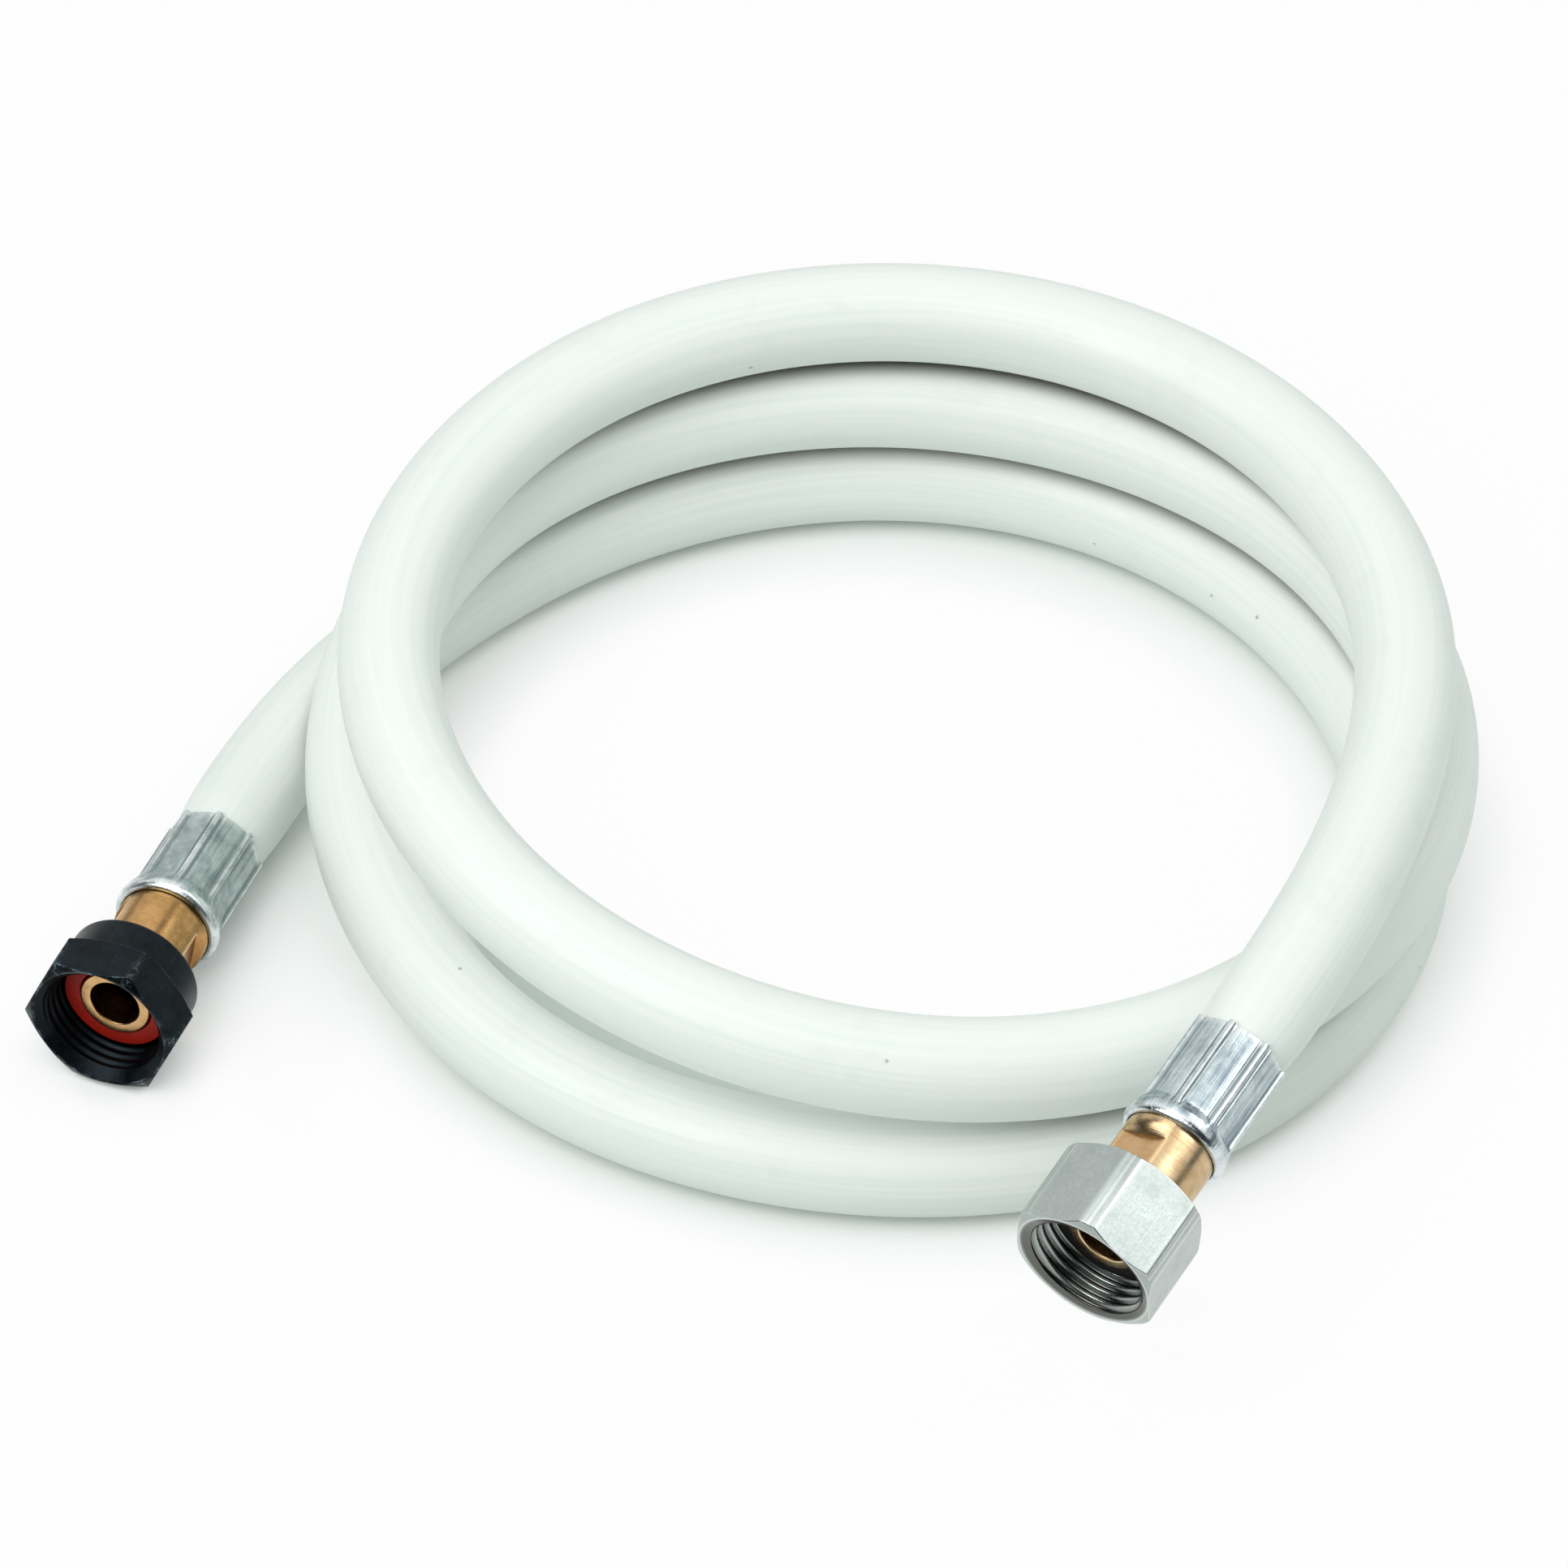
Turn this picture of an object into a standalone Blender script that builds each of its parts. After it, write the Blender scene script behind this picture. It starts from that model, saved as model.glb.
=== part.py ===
"""A low-pressure gas hose: white rubber hose lying in a loose coil, with a crimped union fitting on each end.

Metres, +Z up. The hose lies on the plane z = 0, and the mouths of both union nuts face roughly -Y.
Each fitting is drawn along the local +Z of its own empty. That axis starts in the middle of the nut's mouth
and runs back to the hose, with local +X upwards and local +Y to the right, seen from the mouth.
"""

import math

import bmesh
import bpy
import numpy as np
from mathutils import Matrix, Vector

MM = 0.001

# How close two seated pieces come to each other.
SEAT_GAP = 0.3 * MM

# Hose.
HOSE_RADIUS = 8.5 * MM
HOSE_BORE_RADIUS = 4.5 * MM
HOSE_POINTS = 71
HOSE_BEVEL_RESOLUTION = 4
BORE_BEVEL_RESOLUTION = 3

# The crimp squeezes the hose, which swells back to its full size over a short way behind the ferrule.
CRIMPED_HOSE_RADIUS = 6.9 * MM
SWELL_STEPS = ((3.0 * MM, 7.9 * MM), (8.0 * MM, 8.35 * MM))
STRAIGHT_LEAD = 8.0 * MM

# The coil, seen from above, goes round clockwise from the black fitting. Its route has a point every 30 degrees,
# each with its distance from the coil's middle and its height over the ground.
COIL_MIDDLE = Vector((5.16, 8.76)) * MM
COIL_START = 180
COIL_STEP = 30
COIL_TURNS = (
    # First turn, on the ground.
    ((92.5, 8.5), (83.5, 8.6), (80.5, 8.6), (80.5, 8.6), (82.0, 8.6), (85.0, 8.6),
     (87.0, 8.6), (85.5, 8.6), (82.0, 8.6), (82.5, 8.9), (87.0, 11.0), (90.5, 18.3)),
    # Second turn, on the first. Its near side climbs over it without a rest.
    ((88.5, 25.8), (84.0, 26.7), (80.5, 26.5), (80.5, 26.5), (84.5, 26.5), (88.8, 26.5),
     (88.8, 26.5), (84.0, 26.7), (79.5, 29.2), (78.5, 33.6), (81.0, 38.5), (84.0, 42.3)),
    # Third turn, on the second, as far as the nickel fitting.
    ((84.5, 44.0), (84.0, 44.4), (83.5, 44.1), (83.5, 44.0), (84.0, 44.0), (84.5, 44.1), (86.5, 43.9)),
)
# Where the hose behind the black fitting meets the ground.
LANDING = (-97.9, -26.3, 8.6)

# Each fitting: the middle of its nut's mouth, from the coil's middle on the ground, and how its axis runs from there
# to the hose, turned from +Y towards +X and rising. The spigot's tip lies this deep behind the mouth.
BLACK_MOUTH = (-92.95, -107.92, 13.3)
BLACK_AZIMUTH = math.radians(-5.3)
BLACK_RISE = math.radians(-4.5)
BLACK_TIP_DEPTH = 6.3 * MM
NICKEL_MOUTH = (80.5, -100.95, 34.05)
NICKEL_AZIMUTH = math.radians(6.6)
NICKEL_RISE = math.radians(8.45)
NICKEL_TIP_DEPTH = 6.0 * MM

# Hose tail: the turned brass core of each fitting. Its places are measured from the tip of its spigot.
SPIGOT_RADIUS = 6.25 * MM
SPIGOT_BORE_RADIUS = 4.3 * MM
SPIGOT_BORE_DEPTH = 9.0 * MM
SPIGOT_EDGE = 0.35 * MM
SPIGOT_PROUD = 0.6 * MM
TAIL_BORE_RADIUS = 3.0 * MM
COLLAR_THICKNESS = 2.4 * MM
BODY_RADIUS = 7.9 * MM
BODY_LENGTH = 16.8 * MM
BODY_EDGE = 0.3 * MM
SPANNER_FLAT_HEIGHT = 6.5 * MM
SPANNER_FLAT_START = 4.1 * MM
SPANNER_FLAT_LENGTH = 8.0 * MM
GROOVE_RADIUS = 6.1 * MM
GROOVE_WIDTH = 1.8 * MM
BEAD_RADIUS = 6.8 * MM
BEAD_WIDTH = 1.0 * MM
BARB_ROOT_RADIUS = 3.7 * MM
BARB_PITCH = 3.6 * MM
BARB_LAND = 0.5 * MM
BARB_COUNT = 4

# Seal: a flat ring on the spigot, against the collar.
SEAL_THICKNESS = 2.0 * MM
SEAL_RADIUS = 9.2 * MM
SEAL_EDGE = 0.2 * MM

# Ferrule: a drawn sleeve, pressed on the hose by eight jaws that leave a fin between each two. The black end's
# sleeve is pressed a little smaller.
FERRULE_LIP_OVERLAP = 1.5 * MM
FERRULE_LENGTH = 20.6 * MM
FERRULE_LIP_RADIUS = 8.8 * MM
FERRULE_SHOULDER_RADIUS = 9.2 * MM
FERRULE_LIP_ROUND = 0.55 * MM
FERRULE_SHOULDER = 3.0 * MM
FERRULE_FLANGE_RADIUS = 6.4 * MM
FERRULE_BELL = 0.2 * MM
FERRULE_BELL_LENGTH = 1.2 * MM
FIN_RADIUS = 8.9 * MM
FIN_START = 4.4 * MM
CRIMP_COUNT = 8
CRIMP_HEIGHT = 8.1 * MM
CRIMP_WIDTH = 5.6 * MM
CRIMP_START = 2.9 * MM
CRIMP_RAMP = 1.6 * MM
BLACK_END_SQUEEZE = 0.35 * MM

# Union nuts. Both have the same female thread and turn on the body of their hose tail.
THREAD_RADIUS = 10.48 * MM
HEX_ACROSS_FLATS = 24.0 * MM
HEX_CHAMFER_SLOPE = math.tan(math.radians(30))
MOUTH_RADIUS = 11.7 * MM
MOUTH_DEPTH = 1.2 * MM
MOUTH_FACE_RADIUS = 12.1 * MM
BACK_FACE_RADIUS = 10.6 * MM
# The black nut's hexagon is only its front part, with a round collar behind it that is rounded over at the back.
BLACK_NUT_LENGTH = 14.8 * MM
BLACK_HEX_LENGTH = 7.0 * MM
BLACK_COLLAR_RADIUS = 11.5 * MM
BLACK_COLLAR_ROUND = 1.0 * MM
# The nickel nut's bar is too thin for sharp corners, so a blunt strip is left along each. The bar stands this far
# out round the face of the mouth.
NICKEL_NUT_LENGTH = 16.8 * MM
NICKEL_FACE_CHAMFER = 1.15 * MM

TURN_STEPS = 32
CUTTER_EXCESS = 2.0 * MM

# Places on a hose tail that follow from the sizes above.
SEAL_FRONT = SPIGOT_PROUD
COLLAR_FRONT = SEAL_FRONT + SEAL_THICKNESS + SEAT_GAP
BODY_FRONT = COLLAR_FRONT + COLLAR_THICKNESS
GROOVE_FRONT = BODY_FRONT + BODY_LENGTH
BEAD_FRONT = GROOVE_FRONT + GROOVE_WIDTH
BARB_FRONT = BEAD_FRONT + BEAD_WIDTH
HOSE_END = BARB_FRONT + SEAT_GAP
BARB_RADIUS = HOSE_BORE_RADIUS - SEAT_GAP
COLLAR_RADIUS = SEAL_RADIUS
TAIL_END = BARB_FRONT + BARB_LAND + BARB_COUNT * BARB_PITCH
FERRULE_FRONT = GROOVE_FRONT - FERRULE_LIP_OVERLAP
FERRULE_REAR = FERRULE_FRONT + FERRULE_LENGTH
NUT_SEAT = BODY_FRONT + SEAT_GAP
NUT_HOLE_RADIUS = BODY_RADIUS + SEAT_GAP
HEX_CORNER_RADIUS = HEX_ACROSS_FLATS / 2 / math.cos(math.pi / 6)
BLACK_BAR_RADIUS = HEX_CORNER_RADIUS + SEAT_GAP
NICKEL_BAR_RADIUS = MOUTH_FACE_RADIUS + NICKEL_FACE_CHAMFER


class Fitting:
    """One end of the hose: where the mouth of its nut is, and how its axis runs."""

    def __init__(self, name, mouth, azimuth, rise, tip_depth):
        self.name = name
        self.mouth = Vector((COIL_MIDDLE.x, COIL_MIDDLE.y, 0)) + Vector(mouth) * MM
        self.tip_depth = tip_depth
        level = Vector((math.sin(azimuth), math.cos(azimuth), 0))
        self.axis = level * math.cos(rise) + Vector((0, 0, math.sin(rise)))
        self.right = Vector((level.y, -level.x, 0))
        self.empty = bpy.data.objects.new(name + "_axis", None)
        self.empty.matrix_world = (
            Matrix.Translation(self.mouth)
            @ Matrix((self.right.cross(self.axis), self.right, self.axis)).transposed().to_4x4()
        )
        PARTS.objects.link(self.empty)

    def point(self, from_tip):
        """A point on the axis, this far behind the tip of the spigot."""
        return self.mouth + self.axis * (self.tip_depth + from_tip)

    def hang(self, obj, from_tip=None, turn=0.0):
        """Puts a piece on this axis, turned round it: at the nut's mouth, or at a place on the hose tail."""
        obj.parent = self.empty
        obj.location = (0, 0, 0 if from_tip is None else self.tip_depth + from_tip)
        obj.rotation_euler = (0, 0, turn)
        return obj


def clear_scene():
    for obj in list(bpy.data.objects):
        bpy.data.objects.remove(obj, do_unlink=True)


def new_collection(name):
    made = bpy.data.collections.new(name)
    bpy.context.scene.collection.children.link(made)
    return made


def material(name, color, roughness, metallic=0.0):
    made = bpy.data.materials.new(name)
    made.use_nodes = True
    shader = made.node_tree.nodes["Principled BSDF"]
    shader.inputs["Base Color"].default_value = (*color, 1)
    shader.inputs["Roughness"].default_value = roughness
    shader.inputs["Metallic"].default_value = metallic
    return made


def new_object(name, mesh, collection, finish=None):
    obj = bpy.data.objects.new(name, mesh)
    collection.objects.link(obj)
    if finish:
        mesh.materials.append(finish)
    if collection is CUTTERS:
        obj.hide_render = True
        obj.display_type = "WIRE"
    return obj


def turned(name, profile, finish):
    """A lathe part round local Z. The profile is (radius, height): down its outer side, then up its inner side."""
    mesh = bpy.data.meshes.new(name)
    corners = [(radius, 0, height) for radius, height in profile]
    edges = [(i, (i + 1) % len(corners)) for i in range(len(corners))]
    mesh.from_pydata(corners, edges, [])
    obj = new_object(name, mesh, PARTS, finish)
    screw = obj.modifiers.new("Turn", "SCREW")
    screw.axis = "Z"
    screw.angle = math.tau
    screw.steps = screw.render_steps = TURN_STEPS
    screw.use_merge_vertices = True
    screw.merge_threshold = 0.00001
    screw.use_smooth_shade = False
    return obj


def boolean(obj, cutter, operation="DIFFERENCE"):
    made = obj.modifiers.new(operation.title() + " " + cutter.name, "BOOLEAN")
    made.operation = operation
    made.object = cutter
    made.solver = "EXACT"


def tube_mesh(name, path, radius, resolution, radii=None):
    """The mesh of a round tube through the points of the path, with its caps closed."""
    curve = bpy.data.curves.new(name, "CURVE")
    curve.dimensions = "3D"
    curve.bevel_depth = radius
    curve.bevel_resolution = resolution
    curve.use_fill_caps = True
    spline = curve.splines.new("POLY")
    spline.points.add(len(path) - 1)
    for i, place in enumerate(path):
        spline.points[i].co = (*place, 1)
        spline.points[i].radius = 1 if radii is None else radii[i] / radius
    obj = bpy.data.objects.new(name, curve)
    PARTS.objects.link(obj)
    evaluated = obj.evaluated_get(bpy.context.evaluated_depsgraph_get())
    mesh = bpy.data.meshes.new_from_object(evaluated)
    shape = bmesh.new()
    shape.from_mesh(mesh)
    bmesh.ops.remove_doubles(shape, verts=shape.verts, dist=0.00001)
    bmesh.ops.recalc_face_normals(shape, faces=shape.faces)
    shape.to_mesh(mesh)
    shape.free()
    bpy.data.objects.remove(obj, do_unlink=True)
    mesh.name = name
    return mesh


def smooth_curve(points, first_way, last_way):
    """A curve with even curvature through the points, which starts and ends along the given directions.
    Returns a function of the distance along the points' own chords, and that distance's whole length."""
    points = np.array(points)
    chords = np.linalg.norm(np.diff(points, axis=0), axis=1)
    places = np.concatenate(([0], np.cumsum(chords)))
    last = len(points) - 1
    system = np.eye(last + 1)
    known = np.zeros_like(points)
    known[0] = first_way
    known[last] = last_way
    for i in range(1, last):
        before, after = 1 / chords[i - 1], 1 / chords[i]
        system[i, i - 1:i + 2] = before, 2 * (before + after), after
        known[i] = 3 * (before ** 2 * (points[i] - points[i - 1]) + after ** 2 * (points[i + 1] - points[i]))
    ways = np.linalg.solve(system, known)

    def at(place):
        i = min(int(np.searchsorted(places, place, side="right")) - 1, last - 1)
        i = max(i, 0)
        span = chords[i]
        t = (place - places[i]) / span
        return (
            (2 * t ** 3 - 3 * t ** 2 + 1) * points[i]
            + (t ** 3 - 2 * t ** 2 + t) * span * ways[i]
            + (3 * t ** 2 - 2 * t ** 3) * points[i + 1]
            + (t ** 3 - t ** 2) * span * ways[i + 1]
        )

    return at, places[last]


def hose_route():
    """The hose's points and its radius at each. It is straight and narrow in both crimps, and behind them its points
    are evenly spaced on a smooth curve."""
    centre = Vector((COIL_MIDDLE.x, COIL_MIDDLE.y, 0))
    route = [BLACK_END.point(FERRULE_REAR), centre + Vector(LANDING) * MM]
    stations = [station for turn in COIL_TURNS for station in turn]
    for i, (distance, height) in enumerate(stations):
        angle = math.radians(COIL_START - i * COIL_STEP)
        route.append(centre + Vector((distance * math.cos(angle), distance * math.sin(angle), height)) * MM)
    route += [NICKEL_END.point(FERRULE_REAR + STRAIGHT_LEAD), NICKEL_END.point(FERRULE_REAR)]
    curve, length = smooth_curve(route, BLACK_END.axis, -NICKEL_END.axis)
    free_start = SWELL_STEPS[-1][0]
    spaced = np.linspace(free_start, length - free_start, HOSE_POINTS)[1:-1]
    steps = [(0, CRIMPED_HOSE_RADIUS), *SWELL_STEPS]
    steps += [(place, HOSE_RADIUS) for place in spaced]
    steps += [(length - place, radius) for place, radius in reversed(steps[:len(SWELL_STEPS) + 1])]
    path = [BLACK_END.point(HOSE_END), *(curve(place) for place, _ in steps), NICKEL_END.point(HOSE_END)]
    return path, [CRIMPED_HOSE_RADIUS, *(radius for _, radius in steps), CRIMPED_HOSE_RADIUS]


def make_hose():
    path, radii = hose_route()
    hose = new_object("hose", tube_mesh("hose", path, HOSE_RADIUS, HOSE_BEVEL_RESOLUTION, radii), PARTS, WHITE_RUBBER)
    bore_path = [BLACK_END.point(HOSE_END - CUTTER_EXCESS), *path, NICKEL_END.point(HOSE_END - CUTTER_EXCESS)]
    bore = new_object("hose_bore", tube_mesh("hose_bore", bore_path, HOSE_BORE_RADIUS, BORE_BEVEL_RESOLUTION), CUTTERS)
    boolean(hose, bore)
    hose.data.shade_smooth()


def box_cutter(name, size, middle):
    """A box, as a mesh whose scale is already its size."""
    mesh = bpy.data.meshes.new(name)
    shape = bmesh.new()
    bmesh.ops.create_cube(shape, size=1)
    bmesh.ops.scale(shape, vec=size, verts=shape.verts)
    bmesh.ops.translate(shape, vec=middle, verts=shape.verts)
    shape.to_mesh(mesh)
    shape.free()
    return new_object(name, mesh, CUTTERS)


def barb_profile():
    """The barbed stem from its end to the bead: each barb rises slowly from the end and drops at its back."""
    profile = [(BARB_ROOT_RADIUS - BODY_EDGE, TAIL_END), (BARB_ROOT_RADIUS, TAIL_END - BODY_EDGE)]
    for i in range(BARB_COUNT):
        back = TAIL_END - BODY_EDGE - (i + 1) * BARB_PITCH + BARB_LAND
        profile += [(BARB_RADIUS, back + BARB_LAND), (BARB_RADIUS, back), (BARB_ROOT_RADIUS, back - SEAT_GAP)]
    return profile


def make_hose_tail(end, flat_turn):
    profile = barb_profile() + [
        (BARB_ROOT_RADIUS, BARB_FRONT),
        (BEAD_RADIUS, BARB_FRONT),
        (BEAD_RADIUS, BEAD_FRONT),
        (GROOVE_RADIUS, BEAD_FRONT),
        (GROOVE_RADIUS, GROOVE_FRONT),
        (BODY_RADIUS - BODY_EDGE, GROOVE_FRONT),
        (BODY_RADIUS, GROOVE_FRONT - BODY_EDGE),
        (BODY_RADIUS, BODY_FRONT),
        (COLLAR_RADIUS, BODY_FRONT),
        (COLLAR_RADIUS, COLLAR_FRONT),
        (SPIGOT_RADIUS, COLLAR_FRONT),
        (SPIGOT_RADIUS, SPIGOT_EDGE),
        (SPIGOT_RADIUS - SPIGOT_EDGE, 0),
        (SPIGOT_BORE_RADIUS + SPIGOT_EDGE, 0),
        (SPIGOT_BORE_RADIUS, SPIGOT_EDGE),
        (SPIGOT_BORE_RADIUS, SPIGOT_BORE_DEPTH),
        (TAIL_BORE_RADIUS, SPIGOT_BORE_DEPTH + SPIGOT_BORE_RADIUS - TAIL_BORE_RADIUS),
        (TAIL_BORE_RADIUS, TAIL_END),
    ]
    tail = end.hang(turned("hose_tail_" + end.name, profile, BRASS), 0, flat_turn)
    depth = BODY_RADIUS
    for side in (1, -1):
        cutter = box_cutter(
            f"spanner_flat_{end.name}_{'a' if side > 0 else 'b'}",
            (depth, 2.5 * BODY_RADIUS, SPANNER_FLAT_LENGTH),
            (side * (SPANNER_FLAT_HEIGHT + depth / 2), 0, BODY_FRONT + SPANNER_FLAT_START + SPANNER_FLAT_LENGTH / 2),
        )
        end.hang(cutter, 0, flat_turn)
        boolean(tail, cutter)


def make_seal(end, name, finish):
    inner = SPIGOT_RADIUS + SEAT_GAP
    profile = [
        (inner + SEAL_EDGE, SEAL_THICKNESS),
        (SEAL_RADIUS - SEAL_EDGE, SEAL_THICKNESS),
        (SEAL_RADIUS, SEAL_THICKNESS - SEAL_EDGE),
        (SEAL_RADIUS, SEAL_EDGE),
        (SEAL_RADIUS - SEAL_EDGE, 0),
        (inner + SEAL_EDGE, 0),
        (inner, SEAL_EDGE),
        (inner, SEAL_THICKNESS - SEAL_EDGE),
    ]
    end.hang(turned(name, profile, finish), SEAL_FRONT)


def crimp_cutters(name, squeeze):
    """Eight jaws round the axis, each with a ramp towards the shoulder of the ferrule."""
    height = CRIMP_HEIGHT - squeeze
    slope = CRIMP_RAMP / (FERRULE_SHOULDER_RADIUS - height)
    outside = FERRULE_SHOULDER_RADIUS + CUTTER_EXCESS
    side = [
        (height, FERRULE_LENGTH + CUTTER_EXCESS),
        (height, CRIMP_START + CRIMP_RAMP),
        (outside, CRIMP_START - slope * CUTTER_EXCESS),
        (outside, FERRULE_LENGTH + CUTTER_EXCESS),
    ]
    mesh = bpy.data.meshes.new(name)
    shape = bmesh.new()
    for i in range(CRIMP_COUNT):
        turn = Matrix.Rotation((i + 0.5) * math.tau / CRIMP_COUNT, 4, "Z")
        face = shape.faces.new([shape.verts.new((radius, -CRIMP_WIDTH / 2, place)) for radius, place in side])
        across = bmesh.ops.extrude_face_region(shape, geom=[face])["geom"]
        far = [item for item in across if isinstance(item, bmesh.types.BMVert)]
        bmesh.ops.translate(shape, vec=(0, CRIMP_WIDTH, 0), verts=far)
        bmesh.ops.transform(shape, matrix=turn, verts=list({*face.verts, *far}))
    bmesh.ops.recalc_face_normals(shape, faces=shape.faces)
    shape.to_mesh(mesh)
    shape.free()
    return new_object(name, mesh, CUTTERS)


def make_ferrule(end, fin_turn, squeeze=0.0):
    fin_radius = FIN_RADIUS - squeeze
    grip_radius = CRIMPED_HOSE_RADIUS + SEAT_GAP
    flange_front = GROOVE_FRONT + SEAT_GAP - FERRULE_FRONT
    flange_rear = GROOVE_FRONT + GROOVE_WIDTH - SEAT_GAP - FERRULE_FRONT
    profile = [
        (grip_radius + FERRULE_BELL, FERRULE_LENGTH),
        (fin_radius - FERRULE_BELL, FERRULE_LENGTH),
        (fin_radius, FERRULE_LENGTH - FERRULE_BELL),
        (fin_radius, FIN_START),
        (FERRULE_SHOULDER_RADIUS, FERRULE_SHOULDER),
        (FERRULE_LIP_RADIUS + FERRULE_LIP_ROUND / 2, FERRULE_LIP_ROUND * 2),
        (FERRULE_LIP_RADIUS, FERRULE_LIP_ROUND / 2),
        (FERRULE_LIP_RADIUS - FERRULE_LIP_ROUND / 4, 0),
        (BODY_RADIUS + SEAT_GAP, 0),
        (BODY_RADIUS + SEAT_GAP, flange_front),
        (FERRULE_FLANGE_RADIUS, flange_front),
        (FERRULE_FLANGE_RADIUS, flange_rear),
        (grip_radius, flange_rear),
        (grip_radius, FERRULE_LENGTH - FERRULE_BELL_LENGTH),
    ]
    ferrule = end.hang(turned("ferrule_" + end.name, profile, ALUMINIUM), FERRULE_FRONT, fin_turn)
    jaws = end.hang(crimp_cutters("crimp_jaws_" + end.name, squeeze), FERRULE_FRONT, fin_turn)
    boolean(ferrule, jaws)


def hexagon(name, length):
    """A hexagonal prism with a corner on local +X."""
    mesh = bpy.data.meshes.new(name)
    shape = bmesh.new()
    bmesh.ops.create_cone(
        shape,
        cap_ends=True,
        segments=6,
        radius1=HEX_CORNER_RADIUS,
        radius2=HEX_CORNER_RADIUS,
        depth=length + 2 * CUTTER_EXCESS,
        matrix=Matrix.Rotation(math.pi / 6, 4, "Z") @ Matrix.Translation((0, 0, length / 2)),
    )
    shape.to_mesh(mesh)
    shape.free()
    return new_object(name, mesh, CUTTERS)


def make_nut(end, name, length, outside, finish, turn):
    """A turned blank with its bore and back hole, whose wide stretches are then milled to a hexagon."""
    seat = end.tip_depth + NUT_SEAT
    profile = outside + [
        (MOUTH_RADIUS, 0),
        (THREAD_RADIUS, MOUTH_DEPTH),
        (THREAD_RADIUS, seat),
        (NUT_HOLE_RADIUS, seat),
        (NUT_HOLE_RADIUS, length),
    ]
    nut = end.hang(turned(name, profile, finish), turn=turn)
    boolean(nut, end.hang(hexagon("hexagon_" + end.name, length), turn=turn), "INTERSECT")


def black_nut_outside():
    """The hexagon at the mouth, then the round collar."""
    front_slope = (BLACK_BAR_RADIUS - MOUTH_FACE_RADIUS) * HEX_CHAMFER_SLOPE
    rear_slope = (BLACK_BAR_RADIUS - BLACK_COLLAR_RADIUS) * HEX_CHAMFER_SLOPE
    return [
        (BACK_FACE_RADIUS, BLACK_NUT_LENGTH),
        (BLACK_COLLAR_RADIUS - 0.3 * BLACK_COLLAR_ROUND, BLACK_NUT_LENGTH - 0.3 * BLACK_COLLAR_ROUND),
        (BLACK_COLLAR_RADIUS, BLACK_NUT_LENGTH - BLACK_COLLAR_ROUND),
        (BLACK_COLLAR_RADIUS, BLACK_HEX_LENGTH + rear_slope),
        (BLACK_BAR_RADIUS, BLACK_HEX_LENGTH),
        (BLACK_BAR_RADIUS, front_slope),
        (MOUTH_FACE_RADIUS, 0),
    ]


def nickel_nut_outside():
    """The bar over the whole length, with a chamfer at the mouth and a wider one at the back."""
    return [
        (BACK_FACE_RADIUS, NICKEL_NUT_LENGTH),
        (NICKEL_BAR_RADIUS, NICKEL_NUT_LENGTH - (NICKEL_BAR_RADIUS - BACK_FACE_RADIUS) * HEX_CHAMFER_SLOPE),
        (NICKEL_BAR_RADIUS, (NICKEL_BAR_RADIUS - MOUTH_FACE_RADIUS) * HEX_CHAMFER_SLOPE),
        (MOUTH_FACE_RADIUS, 0),
    ]


clear_scene()
PARTS = new_collection("low_pressure_hose")
CUTTERS = new_collection("cutters")

WHITE_RUBBER = material("white_rubber", (0.85, 0.89, 0.87), 0.45)
BRASS = material("turned_brass", (0.60, 0.38, 0.16), 0.3, 1.0)
ALUMINIUM = material("crimped_aluminium", (0.62, 0.67, 0.66), 0.35, 1.0)
BLACK_STEEL = material("black_oxide_steel", (0.012, 0.016, 0.02), 0.35, 0.6)
NICKEL = material("nickel_plate", (0.66, 0.70, 0.69), 0.2, 1.0)
RED_RUBBER = material("red_rubber", (0.42, 0.02, 0.01), 0.5)
BLACK_RUBBER = material("black_rubber", (0.02, 0.02, 0.02), 0.6)

BLACK_END = Fitting("black_end", BLACK_MOUTH, BLACK_AZIMUTH, BLACK_RISE, BLACK_TIP_DEPTH)
NICKEL_END = Fitting("nickel_end", NICKEL_MOUTH, NICKEL_AZIMUTH, NICKEL_RISE, NICKEL_TIP_DEPTH)

make_hose()
make_hose_tail(BLACK_END, math.radians(100))
make_hose_tail(NICKEL_END, math.radians(-23))
make_seal(BLACK_END, "seal_red", RED_RUBBER)
make_seal(NICKEL_END, "seal_black", BLACK_RUBBER)
make_ferrule(BLACK_END, math.radians(7), BLACK_END_SQUEEZE)
make_ferrule(NICKEL_END, math.radians(43))
make_nut(BLACK_END, "union_nut_black", BLACK_NUT_LENGTH, black_nut_outside(), BLACK_STEEL, math.radians(24))
make_nut(NICKEL_END, "union_nut_nickel", NICKEL_NUT_LENGTH, nickel_nut_outside(), NICKEL, math.radians(5))
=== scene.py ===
import math

import bpy
import numpy as np
from mathutils import Matrix, Vector


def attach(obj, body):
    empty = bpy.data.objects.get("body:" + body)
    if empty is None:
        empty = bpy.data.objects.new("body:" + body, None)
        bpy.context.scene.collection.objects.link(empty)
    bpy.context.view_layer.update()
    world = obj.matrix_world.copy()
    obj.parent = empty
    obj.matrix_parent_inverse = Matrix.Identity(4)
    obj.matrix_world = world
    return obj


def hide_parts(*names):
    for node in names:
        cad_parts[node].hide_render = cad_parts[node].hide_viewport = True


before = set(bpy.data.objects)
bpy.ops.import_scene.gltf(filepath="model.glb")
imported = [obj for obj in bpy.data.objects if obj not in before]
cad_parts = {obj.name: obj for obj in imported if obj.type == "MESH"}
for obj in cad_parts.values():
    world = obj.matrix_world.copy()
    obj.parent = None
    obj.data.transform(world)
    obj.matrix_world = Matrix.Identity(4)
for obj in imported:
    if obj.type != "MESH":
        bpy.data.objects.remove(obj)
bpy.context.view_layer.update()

MM = 0.001

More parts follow.
